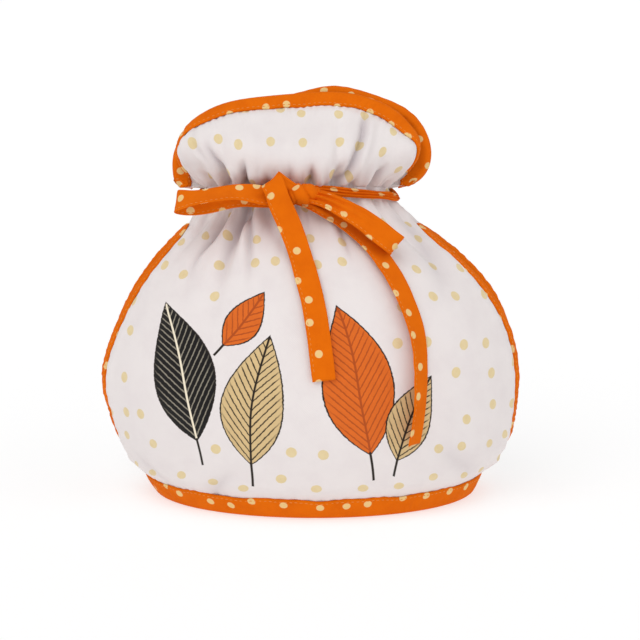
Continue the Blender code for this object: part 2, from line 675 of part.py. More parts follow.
def tie_strip(name, rows):
    """One loop or end of the tie: a flat strip with pressed edges, swept along its rows."""
    points, faces, leans = (np.array(values) for values in zip(*(settle(row) for row in rows)))
    along = running(points)
    places = np.arange(len(rows))
    at = np.interp(np.linspace(0, places[-1], int(TIE_SECTIONS * places[-1]) + 1), places, along)
    line = np.stack([spline(along, points[:, k], at) for k in range(3)], axis=1)
    face = np.stack([spline(along, faces[:, k], at) for k in range(3)], axis=1)
    tangent = unit(np.gradient(line, at, axis=0))
    width = unit(np.cross(tangent, face))
    face = np.cross(width, tangent)
    width = width + tangent * np.tan(np.radians(spline(along, leans, at)))[:, None]
    half, thick = TIE_WIDTH / 2, TIE_THICKNESS / 2
    path = (
        (-half, 0),
        (thick - half, thick),
        (half - thick, thick),
        (half, 0),
        (half - thick, -thick),
        (thick - half, -thick),
    )
    return loft(name, np.stack([line + width * w + face * t for w, t in path], axis=1), False, SPOTTED)


def tie_knot():
    """The knot at the front of the neck: a rounded lump of folded strip."""
    bm = bmesh.new()
    bmesh.ops.create_uvsphere(bm, u_segments=14, v_segments=9, radius=1.0)
    for vert in bm.verts:
        vert.co = Vector(KNOT_CENTRE) + Vector(KNOT_HALVES) * vert.co
    return finished("tie_knot", bm, SPOTTED)


def make_tie():
    """The tie, joined into one piece: the band round the neck, the knot, the two loops and the two ends."""
    band = tie_band()
    parts = [tie_knot(), *(tie_strip(name, rows) for name, rows in TIE_STRIPS.items())]
    for part in parts:
        part.hide_render = True
        part.display_type = "WIRE"
        join = band.modifiers.new(part.name, "BOOLEAN")
        join.operation = "UNION"
        join.object = part


def clear_scene():
    for obj in list(bpy.data.objects):
        bpy.data.objects.remove(obj)


def main():
    clear_scene()
    make_panel("front_panel", FRONT)
    make_panel("back_panel", BACK)
    make_hem_binding()
    make_slit_binding("left_slit_binding", False)
    make_slit_binding("right_slit_binding", True)
    make_frill_binding("front_frill_binding", FRONT)
    make_frill_binding("back_frill_binding", BACK)
    make_tie()


if __name__ == "__main__":
    main()
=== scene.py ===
"""Looks of the tea cosy: padded printed panels, spotted bindings, a tie in a bow and their stitches.

Everything is in metres in the frame of the solids: +Z is up and the front faces -Y. A place on a panel is
given by across, from 0 at the left side seam to 1 at the right one, and level, from 0 at the hem to 1 at the
neck and 2 at the frill's edge. Every piece is a grid of points worked out as whole arrays: closed sections
carried along a path.
"""

import math
from collections import namedtuple

import bmesh
import bpy
import numpy as np
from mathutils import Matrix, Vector


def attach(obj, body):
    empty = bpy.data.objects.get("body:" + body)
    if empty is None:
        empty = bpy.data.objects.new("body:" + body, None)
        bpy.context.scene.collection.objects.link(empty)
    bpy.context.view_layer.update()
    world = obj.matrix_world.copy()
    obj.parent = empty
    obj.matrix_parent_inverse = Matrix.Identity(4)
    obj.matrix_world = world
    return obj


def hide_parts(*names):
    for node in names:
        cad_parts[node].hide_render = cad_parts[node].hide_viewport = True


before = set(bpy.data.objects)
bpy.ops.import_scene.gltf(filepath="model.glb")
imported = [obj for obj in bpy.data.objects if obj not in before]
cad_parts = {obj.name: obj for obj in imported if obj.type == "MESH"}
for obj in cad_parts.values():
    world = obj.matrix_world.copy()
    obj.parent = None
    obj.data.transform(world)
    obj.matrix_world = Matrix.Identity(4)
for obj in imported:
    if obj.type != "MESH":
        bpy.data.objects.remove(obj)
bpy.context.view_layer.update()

FRONT, BACK = -1, 1
BODY = "root"
UP = np.array([0.0, 0.0, 1.0])

# The shape of the padded cloth, as in the solids.
NECK_HEIGHT = 0.190
NECK_LIFT = 0.007
SEAM_GAP = 0.0003
BODY_HALF, NECK_HALF, FRILL_HALF, BOUND_HALF = 0.0030, 0.0022, 0.0022, 0.0011
PANEL_INSET = 0.0022
HEM_BINDING_HEIGHT, HEM_INSET = 0.013, 0.0018
SLIT_BINDING_WIDTH, FRILL_BINDING_WIDTH = 0.0078, 0.0108
LEAST_FRILL_BINDING, FRILL_BINDING_CLEAR = 0.0032, 0.0095
LEAST_LOOSE, FULLY_LOOSE = 0.010, 0.030
LEAVE_AWAY, LEAVE_UP, LEAVE_FORWARD, LEAVE_LENGTH = 0.4, 0.35, 0.9, 0.48
ARRIVE_AWAY, ARRIVE_LENGTH, BULGE_AWAY = 1.02, 0.42, 1.25
SLIT_MIDDLE, SLIT_HALF_HEIGHT, SLIT_HALF_WIDTH = 0.098, 0.060, 0.019
TIE_WIDTH, TIE_THICKNESS, TIE_SPACE = 0.0138, 0.0016, 0.0010
BAND_LEVEL, BAND_HALF_HEIGHT, BAND_CLEAR, BAND_THICKNESS = 0.1866, 0.0030, 0.0008, 0.0024
BAND_DROP = 0.0032  # how much lower the band lies at the side seams, under the ends of the frill
KNOT_CENTRE, KNOT_HALVES = (-0.0045, -0.0500, 0.1928), (0.0108, 0.0076, 0.0060)
FRILL_SAMPLES, EDGE_SAMPLES = 25, 241

Section = namedtuple("Section", "height left right front back")
SECTIONS = (
    Section(0.000, 0.0930, 0.0980, 0.0710, 0.0730),
    Section(0.013, 0.1012, 0.1045, 0.0785, 0.0800),
    Section(0.030, 0.1135, 0.1175, 0.0875, 0.0885),
    Section(0.050, 0.1220, 0.1245, 0.0935, 0.0945),
    Section(0.074, 0.1280, 0.1275, 0.0960, 0.0972),
    Section(0.101, 0.1222, 0.1240, 0.0920, 0.0940),
    Section(0.128, 0.1080, 0.1090, 0.0815, 0.0840),
    Section(0.150, 0.0895, 0.0855, 0.0660, 0.0680),
    Section(0.166, 0.0735, 0.0640, 0.0505, 0.0515),
    Section(0.179, 0.0655, 0.0512, 0.0390, 0.0390),
    Section(NECK_HEIGHT, 0.0640, 0.0455, 0.0370, 0.0370),
)

# The outer edge of each half of the frill: points (x, y, z) from the left end of the neck, over the top.
FRILL_MIDDLES = {FRONT: -0.0093, BACK: -0.0055}
FRILL_EDGES = {
    FRONT: (
        (-0.0730, -0.0045, 0.1977),
        (-0.0769, -0.0058, 0.2071),
        (-0.0779, -0.0075, 0.2171),
        (-0.0725, -0.0092, 0.2289),
        (-0.0575, -0.0110, 0.2403),
        (-0.0338, -0.0125, 0.2462),
        (-0.0065, -0.0125, 0.2490),
        (0.0207, -0.0125, 0.2496),
        (0.0444, -0.0115, 0.2428),
        (0.0584, -0.0095, 0.2320),
        (0.0635, -0.0075, 0.2183),
        (0.0605, -0.0058, 0.2077),
        (0.0548, -0.0045, 0.2008),
    ),
    BACK: (
        (-0.0802, 0.0045, 0.1892),
        (-0.0837, 0.0055, 0.1929),
        (-0.0850, 0.0070, 0.1980),
        (-0.0841, 0.0090, 0.2090),
        (-0.0767, 0.0115, 0.2217),
        (-0.0591, 0.0140, 0.2335),
        (-0.0326, 0.0155, 0.2410),
        (-0.0092, 0.0160, 0.2450),
        (0.0117, 0.0160, 0.2496),
        (0.0395, 0.0155, 0.2438),
        (0.0629, 0.0130, 0.2320),
        (0.0728, 0.0100, 0.2144),
        (0.0720, 0.0075, 0.2015),
        (0.0672, 0.0060, 0.1947),
        (0.0597, 0.0045, 0.1905),
    ),
}

# How far each place along the frill rolls back at its edge, and how far the cloth puffs out in its middle.
Roll = namedtuple("Roll", "across back puff")
ROLLS = {
    FRONT: (
        Roll(0, 0.3, 0),
        Roll(0.05, 0.8, 0.0030),
        Roll(0.10, 1.10, 0.0060),
        Roll(0.15, 0.85, 0.0065),
        Roll(0.21, 0.55, 0.0060),
        Roll(0.32, 0.40, 0.0050),
        Roll(0.50, 0.30, 0.0035),
        Roll(0.68, 0.10, 0.0045),
        Roll(0.80, 0.12, 0.0055),
        Roll(0.86, 0.50, 0.0055),
        Roll(0.91, 1.0, 0.0050),
        Roll(0.96, 0.7, 0.0020),
        Roll(1, 0.3, 0),
    ),
    BACK: (
        Roll(0, 0.3, 0),
        Roll(0.15, 0.6, 0.0045),
        Roll(0.5, 0.5, 0.0035),
        Roll(0.85, 0.5, 0.0040),
        Roll(1, 0.3, 0),
    ),
}

# Gathers: valleys that run down the body and up the frill from the neck, as in the solids.
Gather = namedtuple("Gather", "across depth down up")
GATHERS = {
    FRONT: (
        Gather(0.09, 0.0022, 0.030, 0.018),
        Gather(0.16, 0.0034, 0.060, 0.026),
        Gather(0.25, 0.0040, 0.075, 0.056),
        Gather(0.32, 0.0052, 0.105, 0.024),
        Gather(0.41, 0.0028, 0.040, 0.020),
        Gather(0.48, 0.0022, 0.034, 0.016),
        Gather(0.55, 0.0034, 0.036, 0.028),
        Gather(0.64, 0.0050, 0.040, 0.064),
        Gather(0.70, 0.0034, 0.060, 0.026),
        Gather(0.80, 0.0040, 0.064, 0.032),
        Gather(0.89, 0.0024, 0.046, 0.020),
    ),
    BACK: (
        Gather(0.11, 0.0028, 0.046, 0.020),
        Gather(0.20, 0.0040, 0.075, 0.044),
        Gather(0.30, 0.0032, 0.048, 0.024),
        Gather(0.39, 0.0050, 0.095, 0.056),
        Gather(0.48, 0.0028, 0.044, 0.022),
        Gather(0.57, 0.0044, 0.080, 0.050),
        Gather(0.68, 0.0034, 0.054, 0.022),
        Gather(0.77, 0.0042, 0.085, 0.038),
        Gather(0.88, 0.0026, 0.040, 0.020),
    ),
}
GATHER_HALF_WIDTH = 0.020

# Creases: a valley along a line of (across, level, depth), with a ridge beside it on the side it leans to.
Crease = namedtuple("Crease", "width lean line")
CREASES = {
    FRONT: (
        Crease(0.0022, -0.9, (
            (0.262, 1.02, 0.0030), (0.253, 0.904, 0.0046), (0.243, 0.865, 0.0038), (0.230, 0.808, 0.0024),
            (0.245, 0.720, 0),
        )),
        Crease(0.0032, -0.8, (
            (0.325, 1.02, 0.0030), (0.320, 0.919, 0.0050), (0.309, 0.880, 0.0044), (0.305, 0.826, 0.0030),
            (0.326, 0.710, 0),
        )),
        Crease(0.0020, 0.8, (
            (0.338, 1.02, 0.0028), (0.341, 0.921, 0.0046), (0.364, 0.828, 0.0026), (0.384, 0.715, 0),
        )),
        Crease(0.0022, 0.6, (
            (0.128, 1.02, 0.0014), (0.137, 0.904, 0.0022), (0.153, 0.877, 0.0010), (0.165, 0.830, 0),
        )),
        Crease(0.0040, -0.5, (
            (0.385, 1.02, 0.0014), (0.403, 0.899, 0.0018), (0.457, 0.818, 0.0010), (0.490, 0.760, 0),
        )),
        Crease(0.0024, 0.6, (
            (0.61, 1.02, 0.0018), (0.607, 0.90, 0.0026), (0.602, 0.84, 0.0016), (0.597, 0.79, 0),
        )),
        Crease(0.0075, -0.4, (
            (0.862, 0.95, 0.0008), (0.855, 0.86, 0.0020), (0.80, 0.76, 0.0014), (0.743, 0.66, 0),
        )),
        Crease(0.0040, 0.5, ((0.372, 0.175, 0), (0.345, 0.135, 0.0010), (0.312, 0.085, 0.0014))),
        Crease(0.0050, -0.5, ((0.690, 0.240, 0), (0.750, 0.185, 0.0012), (0.812, 0.130, 0.0009))),
        Crease(0.0045, 0.4, ((0.120, 0.20, 0), (0.155, 0.14, 0.0010), (0.190, 0.09, 0.0010))),
        Crease(0.0020, -0.8, (
            (0.198, 1.58, 0), (0.207, 1.487, 0.0014), (0.241, 1.247, 0.0036), (0.266, 1.062, 0.0042),
            (0.270, 1.0, 0.0030),
        )),
        Crease(0.0016, 0.6, (
            (0.328, 1.31, 0), (0.328, 1.235, 0.0018), (0.328, 1.066, 0.0032), (0.328, 1.0, 0.0020),
        )),
        Crease(0.0020, -0.9, (
            (0.722, 1.82, 0), (0.720, 1.738, 0.0022), (0.716, 1.511, 0.0034), (0.701, 1.346, 0.0040),
            (0.674, 1.132, 0.0042), (0.643, 1.03, 0.0034),
        )),
        Crease(0.0016, 0.7, (
            (0.668, 1.30, 0), (0.663, 1.243, 0.0010), (0.645, 1.132, 0.0018), (0.632, 1.02, 0.0018),
        )),
        Crease(0.0018, -0.6, (
            (0.553, 1.24, 0), (0.553, 1.177, 0.0016), (0.553, 1.033, 0.0028), (0.550, 1.0, 0.0018),
        )),
        Crease(0.0020, 0.7, (
            (0.826, 1.37, 0), (0.820, 1.285, 0.0018), (0.795, 1.058, 0.0034), (0.785, 1.0, 0.0020),
        )),
        Crease(0.0013, 0.9, (
            (0.174, 1.763, 0.0007), (0.180, 1.511, 0.0013), (0.195, 1.392, 0.0008), (0.210, 1.2, 0),
        )),
        Crease(0.0018, -0.7, (
            (0.160, 1.28, 0), (0.172, 1.194, 0.0012), (0.187, 1.062, 0.0022), (0.190, 1.0, 0.0018),
        )),
    ),
    BACK: (
        Crease(0.0028, -0.8, (
            (0.210, 1.02, 0.0018), (0.205, 0.90, 0.0026), (0.222, 0.78, 0.0014), (0.215, 0.66, 0),
        )),
        Crease(0.0026, 0.8, (
            (0.390, 1.02, 0.0018), (0.395, 0.90, 0.0028), (0.380, 0.76, 0.0018), (0.402, 0.60, 0),
        )),
        Crease(0.0024, -0.7, (
            (0.570, 1.02, 0.0016), (0.565, 0.91, 0.0024), (0.585, 0.80, 0.0012), (0.580, 0.70, 0),
        )),
        Crease(0.0026, 0.7, (
            (0.770, 1.02, 0.0018), (0.775, 0.90, 0.0024), (0.760, 0.77, 0.0014), (0.770, 0.63, 0),
        )),
        Crease(0.0024, 0.8, (
            (0.300, 1.66, 0), (0.310, 1.40, 0.0012), (0.325, 1.18, 0.0020), (0.335, 1.03, 0.0020),
        )),
        Crease(0.0024, -0.8, (
            (0.660, 1.75, 0), (0.650, 1.50, 0.0014), (0.640, 1.25, 0.0020), (0.625, 1.03, 0.0020),
        )),
        Crease(0.0045, 0.5, ((0.250, 0.20, 0), (0.300, 0.15, 0.0010), (0.340, 0.09, 0.0012))),
        Crease(0.0045, -0.5, ((0.600, 0.22, 0), (0.650, 0.16, 0.0010), (0.720, 0.10, 0.0010))),
    ),
}
PLEATS = 26

# How finely the cloth is divided. PANEL_HEIGHTS has the rows of points below each height.
CREASE_SAMPLES = 33
PANEL_COLUMNS = 285
PANEL_HEIGHTS = ((0.030, 18), (0.130, 42), (NECK_HEIGHT, 46))
FRILL_ROWS = 50
HEM_COLUMNS, SLIT_COLUMNS, FRILL_COLUMNS, TAIL_COLUMNS, CORNER_COLUMNS = 420, 210, 200, 16, 9
BAND_COLUMNS, BAND_ROWS, KNOT_ROWS, KNOT_COLUMNS, STRIP_ROWS = 130, 25, 41, 64, 23
STRIP_STEP = 0.0016
STITCH_PITCH, STITCH_LENGTH, STITCH_RADIUS = 0.0031, 0.0021, 0.00027

# The padding thins towards the neck from THIN_FROM up. It is thinnest at the seams and in the bindings, and
# fills out from there over the lengths given, from a little under a binding's edge. The painted shade in a
# crease is darkest where the crease is as deep as FULL_CREASE.
THIN_FROM, THIN_OVER, SEAM_OVER, LEAST_PADDING = 0.140, 0.04, 0.010, 0.0010
BINDING_UNDER, BINDING_OVER, SLIT_UNDER, SLIT_OVER = 0.0015, 0.006, 0.0028, 0.005
FULL_CREASE = 0.004

# The cloth puffs up beside each binding, unevenly: a bell curve of the distance from it. Small puckers fade
# with that distance, and the cloth between has soft swells.
Puff = namedtuple("Puff", "height middle width even")
HEM_PUFF, FRILL_PUFF = Puff(0.0017, 0.008, 0.006, 0.6), Puff(0.0012, 0.006, 0.005, 0.6)
SLIT_PUFF = Puff(0.0016, 0.0055, 0.0045, 0.7)
HEM_PUCKER, FRILL_PUCKER, PUCKER_REACH = 0.00032, 0.00040, 0.006
SWELL, SWELL_OVER, PRESSED_OVER = 0.0009, 0.03, 0.004

# How much wider the cloth was cut than it hangs: more from a height up to the neck, and less again on the
# frill.
NECK_FULLNESS, FULL_FROM, FULL_OVER, FRILL_LESS, LESS_OVER = 0.42, 0.120, 0.070, 0.22, 0.040

# A binding's fold: how far in from the folded edge, as a share of its width, and how far out from the cloth's
# middle. The hem's fold is fuller below.
Fold = namedtuple("Fold", "inwards out")
PLAIN_FOLD = Fold(
    np.array([1.0, 0.955, 0.88, 0.76, 0.62, 0.47, 0.33, 0.21, 0.12, 0.055, 0.015, 0.0]),
    np.array([1.8, 2.6, 3.1, 3.4, 3.5, 3.5, 3.4, 3.2, 2.8, 2.2, 1.2, 0.0]) / 1000,
)
HEM_FOLD = Fold(
    np.array([1.0, 0.955, 0.88, 0.76, 0.62, 0.47, 0.33, 0.20, 0.10, 0.045, 0.010, 0.0]),
    np.array([1.8, 2.7, 3.3, 3.6, 3.8, 3.8, 3.8, 3.7, 3.5, 3.0, 2.3, 1.2]) / 1000,
)
FOLD_CLOTH, STITCH_IN = 0.0007, 0.86
BINDING_WAVE, BINDING_RIPPLE, BINDING_PUCKER = 0.045, 0.07, 0.10

# The tie's seam is at a share of its half width, with a dip along it. The tie is cupped, rippled and folded,
# its width waves and narrows in the knot, and its ends are rounded.
SEAM_AT, SEAM_WIDTH, SEAM_DIP = 0.74, 0.07, 0.00025
TIE_CUP, TIE_RIPPLE, TIE_FOLD = 0.00055, 0.00016, 0.0011
TIE_NARROWING, TIE_WAVE, TIE_END = 0.26, 0.025, 0.0009
BAND_NARROWING, BAND_CREASE, BAND_RIPPLE = 0.18, 0.00070, 0.00022

# Rows of the tie's loops and ends. A row that hangs has its place, the way its face looks (in degrees from
# the front, and up) and its lean. A row that lies on the front panel has its place seen from the front, its
# height off the cloth and its turn.
Hang = namedtuple("Hang", "x y z facing tip lean", defaults=(0,))
Lie = namedtuple("Lie", "x z lift turn")
LEFT_LOOP = (
    Hang(-0.0087, -0.0498, 0.1918, 0, 14),
    Hang(-0.0176, -0.0518, 0.1915, 0, 22),
    Hang(-0.0259, -0.0540, 0.1921, 0, 32),
    Hang(-0.0347, -0.0562, 0.1937, 0, 46),
    Hang(-0.0436, -0.0574, 0.1946, 0, 57),
    Hang(-0.0530, -0.0580, 0.1938, 0, 60),
    Hang(-0.0625, -0.0570, 0.1922, -4, 60),
    Hang(-0.0715, -0.0550, 0.1904, -16, 52),
    Hang(-0.0774, -0.0515, 0.1890, -50, 30),
    Hang(-0.0797, -0.0478, 0.1879, -90, 10),
    Hang(-0.0777, -0.0450, 0.1866, -135, 0),
    Hang(-0.0721, -0.0435, 0.1858, -172, -8),
    Hang(-0.0614, -0.0440, 0.1871, -182, -12),
    Hang(-0.0481, -0.0454, 0.1903, -184, -12),
    Hang(-0.0362, -0.0466, 0.1914, -184, -10),
    Hang(-0.0243, -0.0460, 0.1901, -184, -8),
    Hang(-0.0099, -0.0455, 0.1906, -184, -6),
)
RIGHT_LOOP = (
    Hang(-0.0099, -0.0500, 0.1918, 5, 12),
    Hang(-0.0010, -0.0530, 0.1916, 0, 20),
    Hang(0.0085, -0.0575, 0.1899, 0, 28),
    Hang(0.0192, -0.0612, 0.1856, 4, 22),
    Hang(0.0304, -0.0642, 0.1798, 8, 14),
    Hang(0.0410, -0.0660, 0.1720, 14, 8),
    Hang(0.0478, -0.0655, 0.1665, 40, -8),
    Hang(0.0509, -0.0625, 0.1637, 90, -38),
    Hang(0.0477, -0.0592, 0.1656, 150, -20),
    Hang(0.0406, -0.0578, 0.1711, 176, -12),
    Hang(0.0299, -0.0566, 0.1790, 180, -14),
    Hang(0.0186, -0.0548, 0.1853, 182, -20),
    Hang(0.0080, -0.0520, 0.1900, 184, -20),
    Hang(-0.0010, -0.0490, 0.1914, 186, -10),
    Hang(-0.0099, -0.0462, 0.1913, 190, -5),
)
MIDDLE_END = (
    Hang(-0.0028, -0.0490, 0.1902, 176, -6),
    Hang(-0.0099, -0.0525, 0.1934, 180, -4, -4),
    Hang(-0.0169, -0.0545, 0.1972, 180, 4, -12),
    Hang(-0.0211, -0.0552, 0.2003, 190, 20, -20),
    Hang(-0.0232, -0.0566, 0.2018, 270, 51),
    Hang(-0.0226, -0.0586, 0.2005, 350, 20, 20),
    Hang(-0.0209, -0.0594, 0.1964, 356, 6, 12),
    Hang(-0.0182, -0.0596, 0.1887, 356, 6, 2),
    Hang(-0.0145, -0.0605, 0.1804, 358, 14),
    Hang(-0.0104, -0.0640, 0.1708, 360, 26),
    Lie(-0.0058, 0.1548, 0.0010, 0),
    Lie(-0.0023, 0.1442, 0.0008, 0),
    Lie(0.0009, 0.1333, 0.0008, 0),
    Lie(0.0049, 0.1113, 0.0006, 2),
    Lie(0.0077, 0.0888, 0.0006, 3),
)
RIGHT_END = (
    Hang(-0.0081, -0.0470, 0.1911, 0, 10),
    Hang(-0.0010, -0.0487, 0.1887, 0, 22),
    Hang(0.0074, -0.0512, 0.1851, 2, 26),
    Lie(0.0157, 0.1741, 0.0020, 2),
    Lie(0.0256, 0.1672, 0.0014, 4),
    Lie(0.0342, 0.1594, 0.0012, 8),
    Lie(0.0416, 0.1503, 0.0014, 12),
    Lie(0.0487, 0.1399, 0.0017, 16),
    Lie(0.0539, 0.1294, 0.0020, 20),
    Lie(0.0585, 0.1168, 0.0025, 24),
    Lie(0.0610, 0.1035, 0.0029, 28),
    Lie(0.0616, 0.0889, 0.0033, 32),
    Lie(0.0607, 0.0708, 0.0037, 36),
    Lie(0.0575, 0.0508, 0.0038, 38),
)

# The tie's loops and ends: how tight each is at its start and its end, the side that its seam is on, and the
# length over which it stays crumpled.
Strip = namedtuple("Strip", "name rows seed tight_start tight_end seam_side crumpled rests_on")
STRIPS = (
    Strip("tie_left_loop", LEFT_LOOP, 111, 1, 1, -1, 0.028, "tie_knot"),
    Strip("tie_right_loop", RIGHT_LOOP, 121, 1.7, 1.3, 1, 0.064, "tie_knot"),
    Strip("tie_middle_end", MIDDLE_END, 131, 1, 0, 1, 0.022, "front_cloth"),
    Strip("tie_right_end", RIGHT_END, 141, 1, 0, 1, 0.040, "front_cloth"),
)

# Colours of the cloth and its print, and the painted shade in its creases.
PALE, PALE_SHADE, LINING = (0.80, 0.745, 0.735, 1), (0.77, 0.71, 0.705, 1), (0.78, 0.74, 0.73, 1)
# The last colour on the next line is painted shade, multiplied into the cloth in its creases.
SAND_DOT, SAND_DOT_LIGHT, CREASE_PAINTED_SHADE = (0.70, 0.55, 0.29, 1), (0.80, 0.66, 0.40, 1), (0.56, 0.53, 0.57, 1)
ORANGE, ORANGE_SHADE, CREAM_DOT = (0.77, 0.152, 0.002, 1), (0.71, 0.130, 0.0015, 1), (0.82, 0.56, 0.24, 1)
BLACK, SAND, AMBER = (0.006, 0.005, 0.005, 1), (0.72, 0.52, 0.26, 1), (0.76, 0.150, 0.014, 1)
CREAM, DARK, RUST = (0.90, 0.80, 0.62, 1), (0.018, 0.012, 0.008, 1), (0.42, 0.07, 0.008, 1)
THREAD = (0.86, 0.27, 0.04, 1)
DOT_BLUR = 0.00022

# The print: five leaves, each placed by its middle on the front panel. Lean is in degrees to the right, and
# veins is how strong the side veins are.
Leaf = namedtuple("Leaf", "across level length width lean bend ink vein veins")
LEAVES = (
    Leaf(0.290, 0.470, 0.086, 0.034, -16, 0.0035, BLACK, CREAM, 0.30),
    Leaf(0.425, 0.400, 0.078, 0.031, 9, -0.0030, SAND, DARK, 0.95),
    Leaf(0.385, 0.635, 0.040, 0.017, 38, 0.0015, AMBER, RUST, 0.95),
    Leaf(0.560, 0.455, 0.090, 0.035, -12, 0.0030, AMBER, RUST, 0.95),
    Leaf(0.655, 0.330, 0.056, 0.022, 24, -0.0020, SAND, DARK, 0.95),
)
LEAF_RAG, VEIN_PITCH, VEIN_SLOPE = 0.0011, 0.0052, 1.25

# The studio: the lamps are suns, with softness in degrees, and the camera is in front and a little above.
Lamp = namedtuple("Lamp", "name place softness strength")
LAMPS = (
    Lamp("key", (-0.60, -1.05, 1.45), 50, 1.02),
    Lamp("fill", (1.20, -0.90, 0.80), 70, 0.45),
)
LAMPS_AIM = (0, 0, 0.12)
WHITE, SKY_STRENGTH = (1, 1, 1, 1), 0.60
FLOOR_COLOR, FLOOR_GLOW, FLOOR_RADIUS, FLOOR_BELOW = (0.42, 0.42, 0.42, 1), 0.61, 14, 0.0003
VIEW_TARGET, VIEW_DISTANCE, VIEW_ELEVATION = (0.00558, 0.0, 0.10723), 1.6, 10.5
VIEW_LENS, VIEW_SENSOR = 145.16, 36.0  # in millimetres, for a view as narrow as the photograph's


def spline(places, values, at):
    """A natural cubic spline through (places, values)."""
    x, y = np.asarray(places, float), np.asarray(values, float)
    step, count = np.diff(x), len(x)
    slope = np.diff(y) / step
    system = np.eye(count)
    for k in range(1, count - 1):
        system[k, k - 1 : k + 2] = step[k - 1], 2 * (step[k - 1] + step[k]), step[k]
    bend = np.linalg.solve(system, np.array([0, *(6 * np.diff(slope)), 0]))
    at = np.clip(np.asarray(at, float), x[0], x[-1])
    k = np.clip(np.searchsorted(x, at, side="right") - 1, 0, count - 2)
    before, after = at - x[k], x[k + 1] - at
    return (
        (bend[k] * after**3 + bend[k + 1] * before**3) / (6 * step[k])
        + (y[k] / step[k] - bend[k] * step[k] / 6) * after
        + (y[k + 1] / step[k] - bend[k + 1] * step[k] / 6) * before
    )


def ease(share):
    """0 to 1 with level ends: 3t^2 - 2t^3."""
    t = np.clip(share, 0, 1)
    return t * t * (3 - 2 * t)


def bell(x, middle, width):
    """A bell curve, 1 at its middle: e to the power of -((x - middle) / width)^2."""
    return np.exp(-(((x - middle) / width) ** 2))


def unit(vectors):
    return vectors / np.maximum(np.linalg.norm(vectors, axis=-1, keepdims=True), 1e-12)


def column(table, name):
    return [getattr(row, name) for row in table]


def running(points, axis=0):
    """Length along a line of points, from 0 at its start."""
    steps = np.linalg.norm(np.diff(points, axis=axis), axis=-1)
    start = np.zeros_like(np.take(steps, [0], axis=axis))
    return np.concatenate([start, np.cumsum(steps, axis=axis)], axis=axis)


def smooth(along, points, at):
    """The smooth line through points, which lie at lengths along it, at other lengths."""
    return np.stack([spline(along, points[:, k], at) for k in range(3)], axis=-1)


def between(along, points, at):
    """The line of straight pieces through points, which lie at lengths along it, at other lengths."""
    return np.stack([np.interp(at, along, points[:, k]) for k in range(3)], axis=-1)


def wobble(turn, seed, low, high, count=9):
    """An uneven wave round a circle, about -1 to 1: a sum of sines, each with low to high waves round it."""
    draw = np.random.default_rng(seed)
    waves, phases = draw.integers(low, high + 1, count), draw.uniform(0, 2 * np.pi, count)
    sizes = draw.uniform(0.5, 1, count)
    total = sum(size * np.sin(wave * turn + phase) for wave, phase, size in zip(waves, phases, sizes))
    return total / np.sqrt((sizes**2).sum() * 2)


def reach(way, height):
    """How far the body reaches to its "left", "right", "front" or "back" at a height."""
    return spline(column(SECTIONS, "height"), column(SECTIONS, way), height)


def half_depth(height, side):
    return reach("front" if side == FRONT else "back", height)


def lift(across, height):
    """How much higher the gathers push the cloth than at the side seams: a sine across, a cube of height."""
    return NECK_LIFT * np.sin(np.pi * across) * (height / NECK_HEIGHT) ** 3


def body(across, height, side):
    """The middle of the cloth on the body: half an ellipse at each height, lifted towards the neck."""
    left, right = reach("left", height), reach("right", height)
    turn = np.pi * across
    x = (right - left) / 2 - (right + left) / 2 * np.cos(turn)
    y = side * (half_depth(height, side) * np.sin(turn) + SEAM_GAP)
    return np.stack([x, y, height + lift(across, height)], axis=-1)


def level_out(across, height, side, step):
    """The level way out of the body: square to its outline at that height, from a small step each way."""
    right, left = (body(np.clip(across + way * step, 0, 1), height, side) for way in (1, -1))
    return unit(np.cross(unit(right - left), UP)) * -side


def frill_edge(across, side):
    """The outer edge of the frill: a smooth line through the points of its table, at shares of its length."""
    points = np.array(FRILL_EDGES[side])
    along = running(points)
    line = smooth(along, points, np.linspace(0, along[-1], EDGE_SAMPLES))
    length = running(line)
    return between(length, line, np.asarray(across) * length[-1])


def frill_curve(across, t, side):
    """The middle of the cloth on the frill: a cubic curve up and out from the neck, puffed out in its middle
    and rolled back to the edge, where t runs from 0 to 1."""
    neck, edge = body(across, np.full(np.shape(across), NECK_HEIGHT), side), frill_edge(across, side)
    chord = edge - neck
    long = np.linalg.norm(chord, axis=-1, keepdims=True)
    loose = ease((long - LEAST_LOOSE) / FULLY_LOOSE)
    swell = (0.25 + 0.75 * np.sin(np.pi * np.clip(across, 0, 1)))[..., None]
    places = column(ROLLS[side], "across")
    roll, puff = (spline(places, column(ROLLS[side], name), across)[..., None] for name in ("back", "puff"))
    away = unit((edge - np.array([FRILL_MIDDLES[side], 0, NECK_HEIGHT])) * np.array([1, 0, 1]))
    forward = np.array([0, side, 0])
    leave = unit(away * LEAVE_AWAY + UP * LEAVE_UP + forward * LEAVE_FORWARD * swell) * long * LEAVE_LENGTH
    leave = leave * loose + chord / 3 * (1 - loose)
    arrive = unit(away * (ARRIVE_AWAY - roll) - forward * roll) * long * ARRIVE_LENGTH
    arrive = arrive * loose + chord / 3 * (1 - loose)
    bulge = unit(forward * swell**2 + away * (BULGE_AWAY - swell)) * puff
    t = np.asarray(t)[..., None]
    curve = (1 - t) ** 3 * neck + 3 * (1 - t) ** 2 * t * (neck + leave)
    return curve + 3 * (1 - t) * t**2 * (edge - arrive) + t**3 * edge + bulge * np.sin(np.pi * t) ** 2


def frill_lengths(across, side):
    """Length along the frill from the neck to each of FRILL_SAMPLES places."""
    across = np.broadcast_to(np.asarray(across, float)[..., None], (*np.shape(across), FRILL_SAMPLES))
    line = frill_curve(across, np.broadcast_to(np.linspace(0, 1, FRILL_SAMPLES), across.shape), side)
    return running(line, axis=across.ndim - 1)


